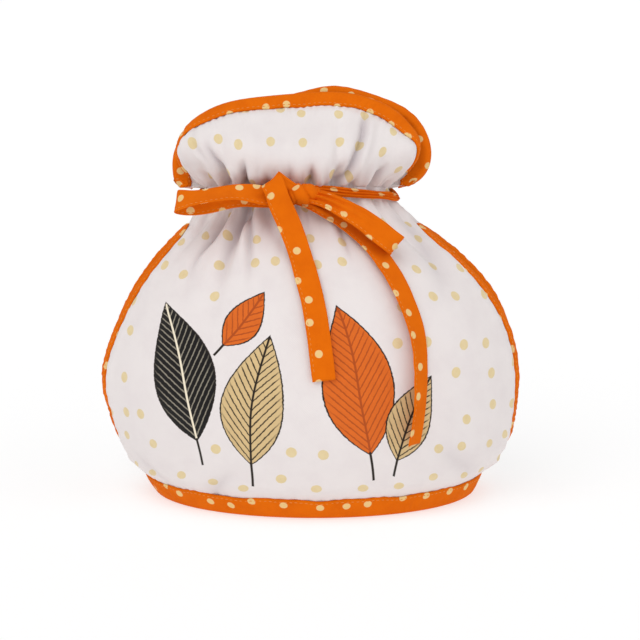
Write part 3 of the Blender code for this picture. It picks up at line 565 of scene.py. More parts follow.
def frill(across, share, side):
    """The middle of the cloth at a share of the way along it from the neck to the frill's edge."""
    lengths = frill_lengths(across, side)
    target = share * lengths[..., -1]
    k = np.clip((lengths <= target[..., None]).sum(axis=-1) - 1, 0, FRILL_SAMPLES - 2)
    low, high = (np.take_along_axis(lengths, (k + n)[..., None], axis=-1)[..., 0] for n in (0, 1))
    return frill_curve(across, (k + (target - low) / (high - low)) / (FRILL_SAMPLES - 1), side)


def faced(place, side, level_share=0):
    """The way out of a grid of points whose rows rise and whose columns run across. A level_share of 1 makes
    it level, as at the hem."""
    normal = unit(np.cross(np.gradient(place, axis=1), np.gradient(place, axis=0))) * -side
    flat = unit(normal * np.array([1, 1, 0]))
    return unit(flat * level_share + normal * (1 - level_share))


def slit_distance(points):
    """How far points are outside the edges of the side openings' panels, roughly, as seen from the side."""
    wide, tall = SLIT_HALF_WIDTH + PANEL_INSET, SLIT_HALF_HEIGHT + PANEL_INSET
    y, z = points[..., 1], points[..., 2] - SLIT_MIDDLE
    size = np.sqrt((y / wide) ** 2 + (z / tall) ** 2)
    return (size - 1) * size / np.sqrt((y / wide**2) ** 2 + (z / tall**2) ** 2 + 1e-12)


def side_across(offset, height, side):
    """How far across a panel a point is that lies offset from the plane of the side seams."""
    return np.arcsin(np.clip(offset / half_depth(height, side), 0, 1)) / np.pi


def line_distance(points, line):
    """The distance from each point to a line, how far along the line its nearest place is (0 to 1), and the
    step from there to the point. The distance is the least over the line's straight pieces."""
    best, at, away = np.full(points.shape[:-1], np.inf), np.zeros(points.shape[:-1]), np.zeros(points.shape)
    for k, (start, end) in enumerate(zip(line[:-1], line[1:])):
        step = end - start
        share = np.clip(((points - start) @ step) / (step @ step), 0, 1)
        gap = points - start - share[..., None] * step
        far = np.linalg.norm(gap, axis=-1)
        nearer = far < best
        best, at = np.where(nearer, far, best), np.where(nearer, (k + share) / (len(line) - 1), at)
        away = np.where(nearer[..., None], gap, away)
    return best, at, away


def puffed(puff, distance, waves):
    """The puff beside a binding: a bell curve of the distance from it, higher and lower with the waves."""
    return puff.height * (puff.even + (1 - puff.even) * waves) * bell(distance, puff.middle, puff.width)


class Panel:
    """The grid of a panel's cloth: rows from the hem up to the frill's edge, columns from left to right."""

    def __init__(self, side):
        self.side = side
        shares = np.linspace(0, 1, PANEL_COLUMNS)
        starts = [HEM_INSET, *(top for top, rows in PANEL_HEIGHTS[:-1])]
        heights = np.concatenate(
            [np.linspace(low, top, rows, endpoint=False) for low, (top, rows) in zip(starts, PANEL_HEIGHTS)]
        )
        wide, tall = SLIT_HALF_WIDTH + PANEL_INSET, SLIT_HALF_HEIGHT + PANEL_INSET
        opening = np.sqrt(np.clip(1 - ((heights - SLIT_MIDDLE) / tall) ** 2, 0, 1)) * wide
        first = side_across(opening, heights, side)[:, None]
        on_body = first + (1 - 2 * first) * shares
        heights = np.broadcast_to(heights[:, None], on_body.shape)
        self.frill_length = frill_lengths(shares, side)[:, -1]
        to_edge = 1 - PANEL_INSET / self.frill_length
        on_frill = np.linspace(0, 1, FRILL_ROWS)[:, None] * to_edge
        spread = np.broadcast_to(shares, on_frill.shape)
        self.across = np.concatenate([on_body, spread])
        self.level = np.concatenate([heights / NECK_HEIGHT, 1 + on_frill])
        self.place = np.concatenate([body(on_body, heights, side), frill(spread, on_frill, side)])
        self.height = np.clip(self.level, 0, 1) * NECK_HEIGHT
        self.normal = faced(self.place, side, 1 - ease((self.height - HEM_BINDING_HEIGHT) / 0.02)[..., None])
        self.above = np.clip(self.level - 1, 0, 1) * self.frill_length
        self.to_edge = self.frill_length - self.above
        from_left = running(self.place, axis=1)
        self.from_seam = np.minimum(from_left, from_left[:, -1:] - from_left)
        self.from_slit = slit_distance(self.place)
        self.flat = self.cut(from_left)
        # The depth of the deepest crease at each place, kept for the painted shade in creases.
        self.folded = np.zeros(self.level.shape)

    def cut(self, from_left):
        """Where the cloth lay before it was gathered, in metres: wider than it hangs from the neck up."""
        fullness = 1 + NECK_FULLNESS * ease((self.height - FULL_FROM) / FULL_OVER)
        fullness = fullness - FRILL_LESS * ease(self.above / LESS_OVER)
        rise = running(self.place, axis=0)
        middle = from_left[:, [PANEL_COLUMNS // 2]]
        return np.stack([(from_left - middle) * fullness, rise], axis=-1)

    def nearest(self, across, level):
        """The grid's place that is nearest to (across, level), as its row and column."""
        row = int(np.argmin(np.abs(self.level[:, PANEL_COLUMNS // 2] - level)))
        return row, int(np.argmin(np.abs(self.across[row] - across)))

    def at(self, across, level):
        return self.place[self.nearest(across, level)]

    def gathering(self):
        """How far the gathers draw the cloth in: bell curves across, fading away from the neck."""
        drawn = np.zeros(self.across.shape)
        below = np.clip(1 - self.level, 0, 1) * NECK_HEIGHT
        room = np.maximum(self.frill_length - FRILL_BINDING_WIDTH - 0.001, 0.001)
        for g in GATHERS[self.side]:
            valley = bell(self.across, g.across, GATHER_HALF_WIDTH)
            up = np.minimum(g.up, room)
            drawn += g.depth * valley * ease(1 - below / g.down) * ease(1 - self.above / up)
        return drawn

    def creased(self, crease):
        """A crease's change of height: minus a sharp bell curve of the distance, plus a wider one beside."""
        places = np.array([self.at(across, level) for across, level, _ in crease.line])
        along = running(places)
        line = smooth(along, places, np.linspace(0, along[-1], 4 * len(places)))
        samples = np.linspace(0, 1, CREASE_SAMPLES)
        depth = spline(along / along[-1], [deep for _, _, deep in crease.line], samples)
        far, share, away = line_distance(self.place, line)
        heading = unit(line[-1] - line[0])
        right = np.sign(np.einsum("...k,...k", away, np.cross(heading, self.normal)))
        deep = np.interp(share, samples, np.maximum(depth, 0))
        valley = np.exp(-((far / crease.width) ** 1.4))
        # Keeps the deepest crease at each place, which sets the painted crease shade.
        self.folded = np.maximum(self.folded, deep * valley)
        ridge = bell(far * right, 2.1 * crease.width * np.sign(crease.lean), 1.5 * crease.width)
        return deep * (abs(crease.lean) * 0.75 * ridge - valley)

    def pleats(self):
        """Small uneven pleats at the neck, each a crease of its own length, drawn from a fixed seed."""
        draw = np.random.default_rng(17 + self.side)
        relief = np.zeros(self.across.shape)
        for start in (np.arange(PLEATS) + 0.5) / PLEATS:
            across = float(np.clip(start + draw.uniform(-0.012, 0.012), 0.03, 0.97))
            down, up = draw.uniform(0.05, 0.20), draw.uniform(0.10, 0.42)
            drift, deep = draw.uniform(-0.012, 0.012), draw.uniform(0.0006, 0.0015)
            spread = (across - 0.5) * 0.06
            line = (
                (across + drift - spread * 0.5, 1 - down, 0),
                (across + drift / 2, 1 - down / 2, deep),
                (across, 1.0, deep),
                (across - drift / 2, 1 + up / 2, deep * 0.9),
                (across - drift + spread, 1 + up, 0),
            )
            lean = draw.choice((-1, 1)) * draw.uniform(0.3, 0.8)
            relief += self.creased(Crease(draw.uniform(0.0013, 0.0021), lean, line))
        return relief

    def wave(self, turn, seed, low, high):
        return wobble(turn, seed + self.side, low, high)

    def relief(self):
        """How far the cloth's face stands off its padding: gathers, creases, pleats, swells, puffs and
        puckers, pressed flat under the tie."""
        relief = -self.gathering() + self.pleats()
        for crease in CREASES[self.side]:
            relief += self.creased(crease)
        turn, rise = np.pi * self.across, self.height * 30
        swells = self.wave(turn + rise * 0.13, 31, 2, 7) * self.wave(rise * 0.5 + turn, 32, 1, 4)
        above_hem = ease((self.height - SWELL_OVER) / SWELL_OVER)
        relief += SWELL * swells * ease(self.from_seam / SWELL_OVER) * above_hem
        from_hem = self.height - HEM_BINDING_HEIGHT
        relief += puffed(HEM_PUFF, from_hem, self.wave(turn, 33, 9, 26))
        pucker = self.wave(turn, 34, 60, 110)
        relief += HEM_PUCKER * pucker * np.exp(-np.abs(from_hem) / PUCKER_REACH)
        from_binding = self.to_edge - FRILL_BINDING_WIDTH
        on_frill = ease((self.above - 0.004) / 0.006)
        relief += FRILL_PUCKER * pucker * np.exp(-np.abs(from_binding) / PUCKER_REACH) * on_frill
        full_frill = ease((self.frill_length - 0.03) / 0.02)
        relief += puffed(FRILL_PUFF, from_binding, self.wave(turn, 35, 7, 16)) * full_frill
        waves = self.wave(rise * 3 + turn, 36, 3, 9)
        relief += puffed(SLIT_PUFF, self.from_slit - SLIT_BINDING_WIDTH, waves) * (self.level < 1)
        above_band = self.above + NECK_HEIGHT - BAND_LEVEL
        from_band = np.where(self.level > 1, above_band, np.abs(self.height - BAND_LEVEL))
        pressed = ease(1 - (from_band - BAND_HALF_HEIGHT) / PRESSED_OVER)
        return np.where(relief > 0, relief * (1 - pressed), relief)

    def half_thickness(self):
        """Half the padding's thickness: full on the body, thin at the neck, the seams and in the bindings."""
        full = BODY_HALF + (NECK_HALF - BODY_HALF) * ease((self.height - THIN_FROM) / THIN_OVER)
        full = np.where(self.level > 1, FRILL_HALF, full)
        by_hem = ease((self.height - HEM_BINDING_HEIGHT + BINDING_UNDER) / BINDING_OVER)
        by_slit = ease((self.from_slit - SLIT_BINDING_WIDTH + SLIT_UNDER) / SLIT_OVER)
        by_edge = ease((self.to_edge - FRILL_BINDING_WIDTH + BINDING_UNDER) / BINDING_OVER)
        share = ease(self.from_seam / SEAM_OVER) * by_hem * np.where(self.level < 1, by_slit, 1)
        return BOUND_HALF + (full - BOUND_HALF) * share * np.where(self.level > 1, by_edge, 1)

    def sections(self):
        """A closed section for each column: up the outside and down the inside, and where that lay when flat.

        The shares tell the lining (1) from the face, and how deep each place lies in a crease, for the
        painted shade there. Some padding is left in the deepest creases, and nothing rises under the slits'
        bindings."""
        half, relief, drawn = self.half_thickness(), self.relief(), self.gathering() / 2
        beside = ease(self.from_slit / SLIT_BINDING_WIDTH * 2 - 1)
        relief = np.where(relief > 0, relief * np.where(self.level < 1, beside, 1), relief)
        relief = np.maximum(relief, LEAST_PADDING - 2 * half - drawn)
        outer = self.place + self.normal * (half + relief)[..., None]
        inner = self.place - self.normal * (half + drawn)[..., None]
        points = np.concatenate([outer, inner[::-1]])
        flat = np.concatenate([self.flat, self.flat[::-1]])
        none = np.zeros(self.level.shape)
        lining = np.concatenate([none, none + 1])
        # How deep each place lies in a crease, 0 to 1: the strength of the painted crease shade.
        folded = np.concatenate([np.clip(self.folded / FULL_CREASE, 0, 1), none])
        return points.swapaxes(0, 1), flat.swapaxes(0, 1), {"lining": lining.T, "folded": folded.T}


def grid_corners(rows, columns):
    """The four corners of every cell of a grid, as rows and columns, (cells, 4, 2)."""
    i, j = (part.ravel() for part in np.meshgrid(np.arange(rows), np.arange(columns), indexing="ij"))
    corners = ((i, j), (i + 1, j), (i + 1, j + 1), (i, j + 1))
    return np.stack([np.stack(corner, axis=-1) for corner in corners], axis=1)


def made(name, points, corners, flat, shares=None):
    """An object from points, faces of four corners, and each corner's place on the flat cloth.

    Points at one place are joined, so that poles close, and the faces are turned outwards."""
    mesh = bpy.data.meshes.new(name)
    mesh.vertices.add(len(points))
    mesh.vertices.foreach_set("co", points.ravel())
    mesh.loops.add(corners.size)
    mesh.loops.foreach_set("vertex_index", corners.ravel())
    mesh.polygons.add(len(corners))
    mesh.polygons.foreach_set("loop_start", np.arange(0, corners.size, 4))
    mesh.update(calc_edges=True)
    mesh.uv_layers.new(name="cloth").uv.foreach_set("vector", flat.reshape(-1, 2).ravel())
    for key, values in (shares or {}).items():
        mesh.attributes.new(key, "FLOAT", "POINT").data.foreach_set("value", values.ravel())
    bm = bmesh.new()
    bm.from_mesh(mesh)
    bmesh.ops.remove_doubles(bm, verts=bm.verts, dist=1e-7)
    bmesh.ops.recalc_face_normals(bm, faces=bm.faces)
    if bm.calc_volume(signed=True) < 0:
        bmesh.ops.reverse_faces(bm, faces=bm.faces)
    bm.to_mesh(mesh)
    bm.free()
    mesh.shade_smooth()
    obj = bpy.data.objects.new(name, mesh)
    bpy.context.scene.collection.objects.link(obj)
    return obj


def loft(name, sections, flat, closed=False, shares=None):
    """A closed surface through closed sections, (along, around, 3). An open path's ends are closed across.

    flat gives each point's place on the cloth, which goes on by one more step where it joins itself."""
    along, around = sections.shape[:2]
    cells = grid_corners(along if closed else along - 1, around)
    corners = (cells[..., 0] % along) * around + cells[..., 1] % around
    wide = np.concatenate([flat, flat[:, -1:] + (flat[:, -1:] - flat[:, -2:-1])], axis=1)
    if closed:
        wide = np.concatenate([wide, wide[-1:] + (wide[-1:] - wide[-2:-1])])
    lain = wide[cells[..., 0], cells[..., 1]]
    if not closed:
        j = np.arange(around // 2 - 1)
        across = np.stack([j, j + 1, around - 2 - j, around - 1 - j], axis=-1)
        corners = np.concatenate([corners, across, across[:, ::-1] + (along - 1) * around])
        lain = np.concatenate([lain, flat[0][across], flat[-1][across[:, ::-1]]])
    return made(name, sections.reshape(-1, 3), corners, lain, shares)


def strip_flat(sections):
    """Where a strip's points lay when flat: the length along it, and the way round its section."""
    along = running(sections.mean(axis=1))
    around = running(sections, axis=1)
    middle = around[:, [around.shape[1] // 4]]
    return np.stack([np.broadcast_to(along[:, None], around.shape), around - middle], axis=-1)


def binding(name, place, turn, width, seed, closed, fold):
    """A binding strip: its fold's section carried along an edge, with a wavy stitched edge and small puckers.

    place(inwards) gives the middle of the cloth and its way out at distances in from the folded edge. turn is
    the angle of each place along the edge."""
    share = np.concatenate([fold.inwards, fold.inwards[-2::-1]])
    out = np.concatenate([fold.out, -fold.out[-2::-1]])
    width = width * (1 + BINDING_WAVE * wobble(turn, seed, 5, 28))
    ripple = wobble(turn, seed + 1, 50, 95)[:, None] * np.sin(np.pi * share) * BINDING_PUCKER
    ripple = ripple + wobble(turn, seed + 2, 8, 30)[:, None] * np.sin(np.pi * share) * BINDING_RIPPLE
    outside = np.stack([share * width[:, None], out * (1 + ripple)], axis=-1)
    heading = unit(np.gradient(outside, axis=1))
    within = np.stack([heading[..., 1], -heading[..., 0]], axis=-1) * FOLD_CLOTH
    inside = outside - within * np.sign(np.mean(within[:, 4, 1]))
    around = np.concatenate([outside, inside[:, ::-1]], axis=1)
    middle, normal = place(np.maximum(around[..., 0], 0))
    sections = middle + normal * around[..., 1][..., None]
    obj = loft(name, sections, strip_flat(sections), closed)
    at, up = place(STITCH_IN * width[:, None])
    bulge = np.interp(STITCH_IN, fold.inwards[::-1], fold.out[::-1])
    return obj, [(at[:, 0] + up[:, 0] * way * bulge, up[:, 0] * way) for way in (1, -1)]


def hem_place(across, side):
    """Gives the place and the level way out at distances up from the floor, along one panel's hem."""

    def place(inwards):
        at = np.broadcast_to(across[:, None], inwards.shape)
        return body(at, inwards, side), level_out(at, inwards, side, 0.002)

    return place


def all_round(front, back):
    """One place function for two, each for its own half of the path."""

    def place(inwards):
        found = [half(rows) for half, rows in zip((front, back), np.split(inwards, 2))]
        return tuple(np.concatenate(parts) for parts in zip(*found))

    return place


def frill_binding_width(across, side):
    """The binding's width along the frill, narrower where the frill runs in to the neck."""
    length = frill_lengths(across, side)[..., -1]
    return np.clip(length - FRILL_BINDING_CLEAR, LEAST_FRILL_BINDING, FRILL_BINDING_WIDTH)


def frill_point(across, share, side):
    """A place on the frill, and the way out of it from small steps across and along."""
    across, share = np.clip(across, 0, 1), np.clip(share, 0, 1)
    right, left = (frill(np.clip(across + step, 0, 1), share, side) for step in (0.006, -0.006))
    over, under = (frill(across, np.clip(share + step, 0, 1), side) for step in (0.006, -0.006))
    return frill(across, share, side), unit(np.cross(right - left, over - under)) * -side


def cornered_place(across, share, turn, side):
    """Gives the place and the way out at distances in from a path of (across, share) round half the frill.

    The way in lies straight down the frill where turn is 0, to the right at 90 and to the left at -90."""
    cos, sin = np.cos(np.radians(turn))[:, None], np.sin(np.radians(turn))[:, None]
    length = frill_lengths(across, side)[:, -1:]
    step = np.where(across > 0.5, -0.01, 0.01)
    beside = frill(across + step, share, side) - frill(across, share, side)
    wide = np.linalg.norm(beside, axis=-1)[:, None] / 0.01

    def place(inwards):
        aside, along = sin * inwards / wide, cos * inwards / length
        return frill_point(across[:, None] + aside, share[:, None] - along, side)

    return place


def frill_place(across, side):
    """Gives the place and the way out at distances in from the frill's edge."""
    length = frill_lengths(across, side)[:, -1:]
    shares = 1 - np.linspace(0, 1.15, 25)[None, ::-1] * frill_binding_width(across, side)[:, None] / length
    grid = frill(np.broadcast_to(across[:, None], shares.shape), shares, side)
    normals = faced(grid.swapaxes(0, 1), side).swapaxes(0, 1)

    def place(inwards):
        at = np.broadcast_to(across[:, None], inwards.shape)
        share = 1 - inwards / length
        k = (share - shares[:, :1]) / (shares[:, -1:] - shares[:, :1]) * (shares.shape[1] - 1)
        low = np.clip(k.astype(int), 0, shares.shape[1] - 2)
        rest = (k - low)[..., None]
        rows = np.arange(len(across))[:, None]
        return frill(at, share, side), unit(normals[rows, low] * (1 - rest) + normals[rows, low + 1] * rest)

    return place


def slit_place(turn, mirrored):
    """Gives the place and the way out at distances from a side opening's edge, an ellipse from the side."""
    edge = np.stack([SLIT_HALF_WIDTH * np.sin(turn), -SLIT_HALF_HEIGHT * np.cos(turn)], axis=-1)
    away = unit(edge / np.array([SLIT_HALF_WIDTH, SLIT_HALF_HEIGHT]) ** 2)

    def place(inwards):
        at = edge[:, None] + away[:, None] * inwards[..., None]
        offset, height = at[..., 0], at[..., 1] + SLIT_MIDDLE
        points, outs = [], []
        for side in (FRONT, BACK):
            across = side_across(np.abs(offset), height, side)
            point, aside, over, under = (
                body(1 - across - step if mirrored else across + step, height + rise, side)
                for step, rise in ((0, 0), (0.004, 0), (0, 0.004), (0, -0.004))
            )
            points.append(point)
            outs.append(unit(np.cross(aside - point, over - under)) * (side if mirrored else -side))
        front = (np.sign(offset) == FRONT)[..., None]
        from_seam = ease(np.abs(offset) / 0.004)[..., None]
        outward = unit(np.where(front, *outs))
        level = unit(outward * np.array([1, 0, 1]))
        return np.where(front, *points), unit(outward * from_seam + level * (1 - from_seam))

    return place


def on_panel(x, z):
    """The middle of the front panel's cloth, and the way out of it, at a place seen from the front."""
    height, across, d = z, 0.5, 0.003
    for _ in range(6):
        left, right = reach("left", height), reach("right", height)
        across = np.arccos(((right - left) / 2 - x) / ((right + left) / 2)) / np.pi
        height = z - lift(across, height)
    grid = np.array([[body(across + i * d, height + j * d, FRONT) for i in (-1, 0, 1)] for j in (-1, 0, 1)])
    return grid[1, 1], faced(grid, FRONT)[1, 1]


def spun(vector, axis, degrees):
    """A vector turned about an axis at right angles to it."""
    turn = math.radians(degrees)
    return vector * math.cos(turn) + np.cross(axis, vector) * math.sin(turn)


def settle(row):
    """The point, the face direction and the lean of one row of a strip's table."""
    if isinstance(row, Hang):
        facing, tip = math.radians(row.facing), math.radians(row.tip)
        level = math.cos(tip)
        face = np.array([math.sin(facing) * level, -math.cos(facing) * level, math.sin(tip)])
        return np.array([row.x, row.y, row.z]), face, row.lean
    point, face = on_panel(row.x, row.z)
    out = BODY_HALF + TIE_SPACE + TIE_THICKNESS / 2 + row.lift
    return point + face * out, spun(face, UP, row.turn), 0


STRIP_ACROSS = np.sin(np.linspace(-1, 1, STRIP_ROWS) * np.pi / 2)


def tie_strip(strip):
    """One loop or end of the tie: a flattened tube of cloth swept along a smooth line through its rows.

    Across it, the face dips along a seam near one edge, and it is cupped and rippled a little. Where it is
    tight, in the knot, it narrows and folds lengthwise, fading over the crumpled length."""
    points, faces, leans = (np.array(values) for values in zip(*(settle(row) for row in strip.rows)))
    along = running(points)
    at = np.linspace(0, along[-1], int(along[-1] / STRIP_STEP) + 1)
    line, face = smooth(along, points, at), smooth(along, faces, at)
    tangent = unit(np.gradient(line, axis=0))
    width = unit(np.cross(tangent, face))
    face = np.cross(width, tangent)
    width = width + tangent * np.tan(np.radians(spline(along, leans, at)))[:, None]
    at = at[:, None]
    turn, left = at / along[-1] * np.pi, along[-1] - at
    tight_start, tight_end = (ease(1 - length / strip.crumpled) for length in (at, left))
    tight = tight_start * strip.tight_start + tight_end * strip.tight_end
    half = TIE_WIDTH / 2 * (1 - TIE_NARROWING * tight + TIE_WAVE * wobble(turn, strip.seed, 3, 12))
    w = STRIP_ACROSS
    rounded = np.sqrt(np.clip(1 - (1 - np.clip(np.minimum(at, left) / TIE_END, 0, 1)) ** 2, 0.05, 1))
    thick = TIE_THICKNESS / 2 * np.sqrt(np.clip(1 - np.abs(w) ** 5, 0, 1)) * rounded
    thick = thick - bell(w, SEAM_AT * strip.seam_side, SEAM_WIDTH) * SEAM_DIP * np.minimum(1, thick / 0.0004)
    cup = TIE_CUP * (w**2 - 0.35) * (1 + 0.8 * wobble(turn, strip.seed + 1, 2, 6))
    slant = np.sin(np.pi * (w + 1) * 0.75 + strip.seed)
    ripple = TIE_RIPPLE * wobble(turn, strip.seed + 2, 14, 36) * slant
    fold = TIE_FOLD * tight * (np.cos(2.6 * np.pi * w + strip.seed) * (1 - w**4))
    middle = cup + ripple + fold
    across = np.concatenate([w * half, (w * half)[:, ::-1]], axis=1)
    out = np.concatenate([middle + thick, (middle - thick)[:, ::-1]], axis=1)
    sections = line[:, None] + width[:, None] * across[..., None] + face[:, None] * out[..., None]
    k = int(np.argmin(np.abs(w - SEAM_AT * strip.seam_side)))
    seams = [(sections[2:-2, k], face[2:-2]), (sections[2:-2, -1 - k], -face[2:-2])]
    return loft(strip.name, sections, strip_flat(sections)), seams, along[-1]


def tie_band(seed):
    """The part of the tie round the neck: a flattened tube, creased lengthwise and pressed on the gathers. It
    dips to the side seams, along a rounded V, and narrows at the right."""
    shares = np.linspace(0, 1, BAND_COLUMNS, endpoint=False)[:, None]
    v = np.linspace(-1, 1, BAND_ROWS)
    thick = BAND_THICKNESS * np.sqrt(np.clip(1 - np.abs(v) ** 3.2, 0.02, 1))
    middle = NECK_HALF + BAND_CLEAR + BAND_THICKNESS / 2
    halves = []
    for side, across in ((FRONT, shares), (BACK, 1 - shares)):
        turn = np.pi * (shares if side == FRONT else 1 + shares)
        narrow = ease((shares - 0.55) / 0.2) if side == FRONT else ease(1 - shares / 0.2)
        half = BAND_HALF_HEIGHT * (1 - BAND_NARROWING * narrow + 0.10 * wobble(turn, seed, 4, 14))
        drop = BAND_DROP * (1 - np.hypot(np.sin(turn), 0.18))
        level = BAND_LEVEL - drop + 0.0005 * wobble(turn, seed + 1, 3, 9) + half * v
        at, height = np.broadcast_to(across, level.shape), np.minimum(level, NECK_HEIGHT)
        point = body(at, height, side) + UP * (level - height)[..., None]
        out = level_out(at, height, side, 0.003)
        creases = BAND_CREASE * np.sin(3.3 * np.pi * v + 2.2 * wobble(turn, seed + 2, 3, 10))
        creases = creases + BAND_RIPPLE * wobble(turn, seed + 3, 30, 60) * np.cos(np.pi * v / 2)
        front = point + out * (middle + thick / 2 + creases * (1 - v**6))[..., None]
        back = point + out * (middle - thick / 2)[..., None]
        halves.append(np.concatenate([front, back[:, ::-1]], axis=1))
    sections = np.concatenate(halves)
    return loft("tie_band", sections, strip_flat(sections), closed=True)


def tie_knot():
    """The knot: an oval lump of wrapped strip, with folds that run round it aslant."""
    t = np.linspace(0, np.pi, KNOT_ROWS)[:, None]
    turn = np.linspace(0, 2 * np.pi, KNOT_COLUMNS, endpoint=False)
    grooves = np.exp(-(np.sin(3.6 * t + 1.1 * np.sin(turn + 0.5)) ** 2) / 0.045) * np.sin(t) ** 0.5
    size = np.sin(t) ** 0.8 * (1.05 - 0.20 * grooves + 0.035 * np.sin(9 * t + 2 * np.sin(turn)))
    lump = np.stack([-np.cos(t) + 0 * turn, size * np.cos(turn), size * np.sin(turn)], axis=-1)
    sections = np.array(KNOT_CENTRE) + np.array(KNOT_HALVES) * lump
    return loft("tie_knot", sections, strip_flat(sections))


def stitches(name, seams):
    """Stitches along seams: short rounded bars, thickest in the middle, one for each pitch along a line."""
    lengthwise, around = np.linspace(-1, 1, 5), np.linspace(0, 2 * np.pi, 6, endpoint=False)
    x = np.repeat(lengthwise * STITCH_LENGTH / 2, len(around))
    size = np.repeat(STITCH_RADIUS * np.sqrt(np.clip(1 - lengthwise**2, 0, 1)), len(around))
    y = size * np.tile(np.cos(around), len(lengthwise))
    z = size * np.tile(np.sin(around), len(lengthwise)) * 0.8 - (x / STITCH_LENGTH) ** 2 * 0.0003
    points, corners, count = [], [], 0
    cells = grid_corners(len(lengthwise) - 1, len(around))
    pattern = cells[..., 0] * len(around) + cells[..., 1] % len(around)
    for line, up in seams:
        along = running(line)
        at = np.arange(STITCH_PITCH, along[-1] - STITCH_PITCH / 2, STITCH_PITCH)
        centre, out = between(along, line, at), unit(between(along, up, at))
        tangent = unit(between(along, line, at + 0.0008) - centre)
        beside = unit(np.cross(out, tangent))
        ways = np.stack([tangent, beside, np.cross(tangent, beside)], axis=1)
        bars = centre[:, None] + np.einsum("kp,nkc->npc", np.stack([x, y, z]), ways)
        points.append(bars.reshape(-1, 3))
        corners.append((pattern[None] + (count + np.arange(len(at)) * len(x))[:, None, None]).reshape(-1, 4))
        count += len(at) * len(x)
    points, corners = np.concatenate(points), np.concatenate(corners)
    return made(name, points, corners, np.zeros((len(corners), 4, 2)))


class Value:
    """A number that varies over a surface. Arithmetic on it adds Math nodes to its finish."""

    def __init__(self, finish, socket):
        self.finish, self.socket = finish, socket

    def math(self, operation, *values):
        node = self.finish.node("ShaderNodeMath", {"operation": operation}, dict(enumerate(values)))
        return Value(self.finish, node.outputs[0])

    def __rsub__(self, other):
        return self.math("SUBTRACT", other, self)

    def __abs__(self):
        return self.math("ABSOLUTE", self)

    def sine(self):
        return self.math("SINE", self)

    def part(self):
        """What is left over a whole number."""
        return self.math("FRACT", self)

    def rise(self, low, high):
        """0 below low, 1 above high and smooth between."""
        ends = {"Value": self, "From Min": low, "From Max": high}
        node = self.finish.node("ShaderNodeMapRange", {"interpolation_type": "SMOOTHSTEP"}, ends)
        return Value(self.finish, node.outputs["Result"])


for name, operation in (
    ("__add__", "ADD"),
    ("__radd__", "ADD"),
    ("__sub__", "SUBTRACT"),
    ("__mul__", "MULTIPLY"),
    ("__rmul__", "MULTIPLY"),
    ("__truediv__", "DIVIDE"),
    ("__lt__", "LESS_THAN"),
    ("__gt__", "GREATER_THAN"),
    ("most", "MAXIMUM"),
):
    setattr(Value, name, lambda self, other, operation=operation: self.math(operation, self, other))


class Finish:
    """One material: a cotton's colour, weave and roughness, built from the cloth's flat coordinates."""

    def __init__(self, name, roughness, sheen, tint, gloss=0.25):
        self.material = bpy.data.materials.new(name)
        self.material.use_nodes = True
        self.tree = self.material.node_tree
        self.shader = self.tree.nodes["Principled BSDF"]
        self.put("Roughness", roughness)
        self.put("Sheen Weight", sheen)
        self.put("Sheen Roughness", 0.45)
        self.put("Sheen Tint", tint)
        self.put("Specular IOR Level", gloss)
        self.place = self.node("ShaderNodeUVMap", {"uv_map": "cloth"}, {}).outputs["UV"]
        self.u, self.v = self.parts(self.place)

    def node(self, kind, settings, inputs):
        """Adds a node: its settings first, then the values or links of its sockets."""
        node = self.tree.nodes.new(kind)
        for name, value in settings.items():
            setattr(node, name, value)
        for name, value in inputs.items():
            self.join(node.inputs[name], value)
        return node

    def put(self, name, value):
        """Sets one of the shader's sockets to a value, or links it."""
        self.join(self.shader.inputs[name], value)

    def join(self, socket, value):
        source = value.socket if isinstance(value, Value) else value
        if isinstance(source, bpy.types.NodeSocket):
            self.tree.links.new(source, socket)
        else:
            socket.default_value = source

    def parts(self, vector):
        node = self.node("ShaderNodeSeparateXYZ", {}, {"Vector": vector})
        return Value(self, node.outputs["X"]), Value(self, node.outputs["Y"])

    def noise(self, scale, detail=2.0, rough=0.5, place=None):
        node = self.node(
            "ShaderNodeTexNoise",
            {"noise_dimensions": "3D"},
            {"Vector": place or self.place, "Scale": scale, "Detail": detail, "Roughness": rough},
        )
        return Value(self, node.outputs["Fac"])

    def dots(self, pitch, radius, unevenness, wander):
        """Where round dots are, 0 to 1, and the place of the middle of the nearest one. The dots stand on a
        grid of that pitch, each moved from its place by up to unevenness, and their edges wander a little."""
        node = self.node(
            "ShaderNodeTexVoronoi",
            {"voronoi_dimensions": "2D", "feature": "F1"},
            {"Vector": self.place, "Scale": 1 / pitch, "Randomness": unevenness},
        )
        far = Value(self, node.outputs["Distance"]) * pitch + (self.noise(900.0) - 0.5) * wander
        return 1 - far.rise(radius - DOT_BLUR, radius + DOT_BLUR), self.parts(node.outputs["Position"])

    def attribute(self, name):
        return Value(self, self.node("ShaderNodeAttribute", {"attribute_name": name}, {}).outputs["Fac"])

    def mixed(self, share, low, high, blend="MIX"):
        settings = {"data_type": "RGBA", "blend_type": blend}
        return self.node("ShaderNodeMix", settings, {0: share, 6: low, 7: high}).outputs[2]

    def weave(self, yarn, depth, slubs):
        """Height of a plain weave: two sets of yarns over and under each other, with uneven slubs."""
        warp, weft = (self.u * (math.pi / yarn)).sine(), (self.v * (math.pi / yarn)).sine()
        height = warp * weft * 0.5 + self.noise(420.0, 3.0, 0.6) * slubs
        self.bump(0.35, depth, height)

    def bump(self, strength, distance, height):
        node = self.node("ShaderNodeBump", {}, {"Strength": strength, "Distance": distance, "Height": height})
        self.put("Normal", node.outputs["Normal"])


def darker(color, share):
    return tuple(part * share for part in color[:3]) + (1,)


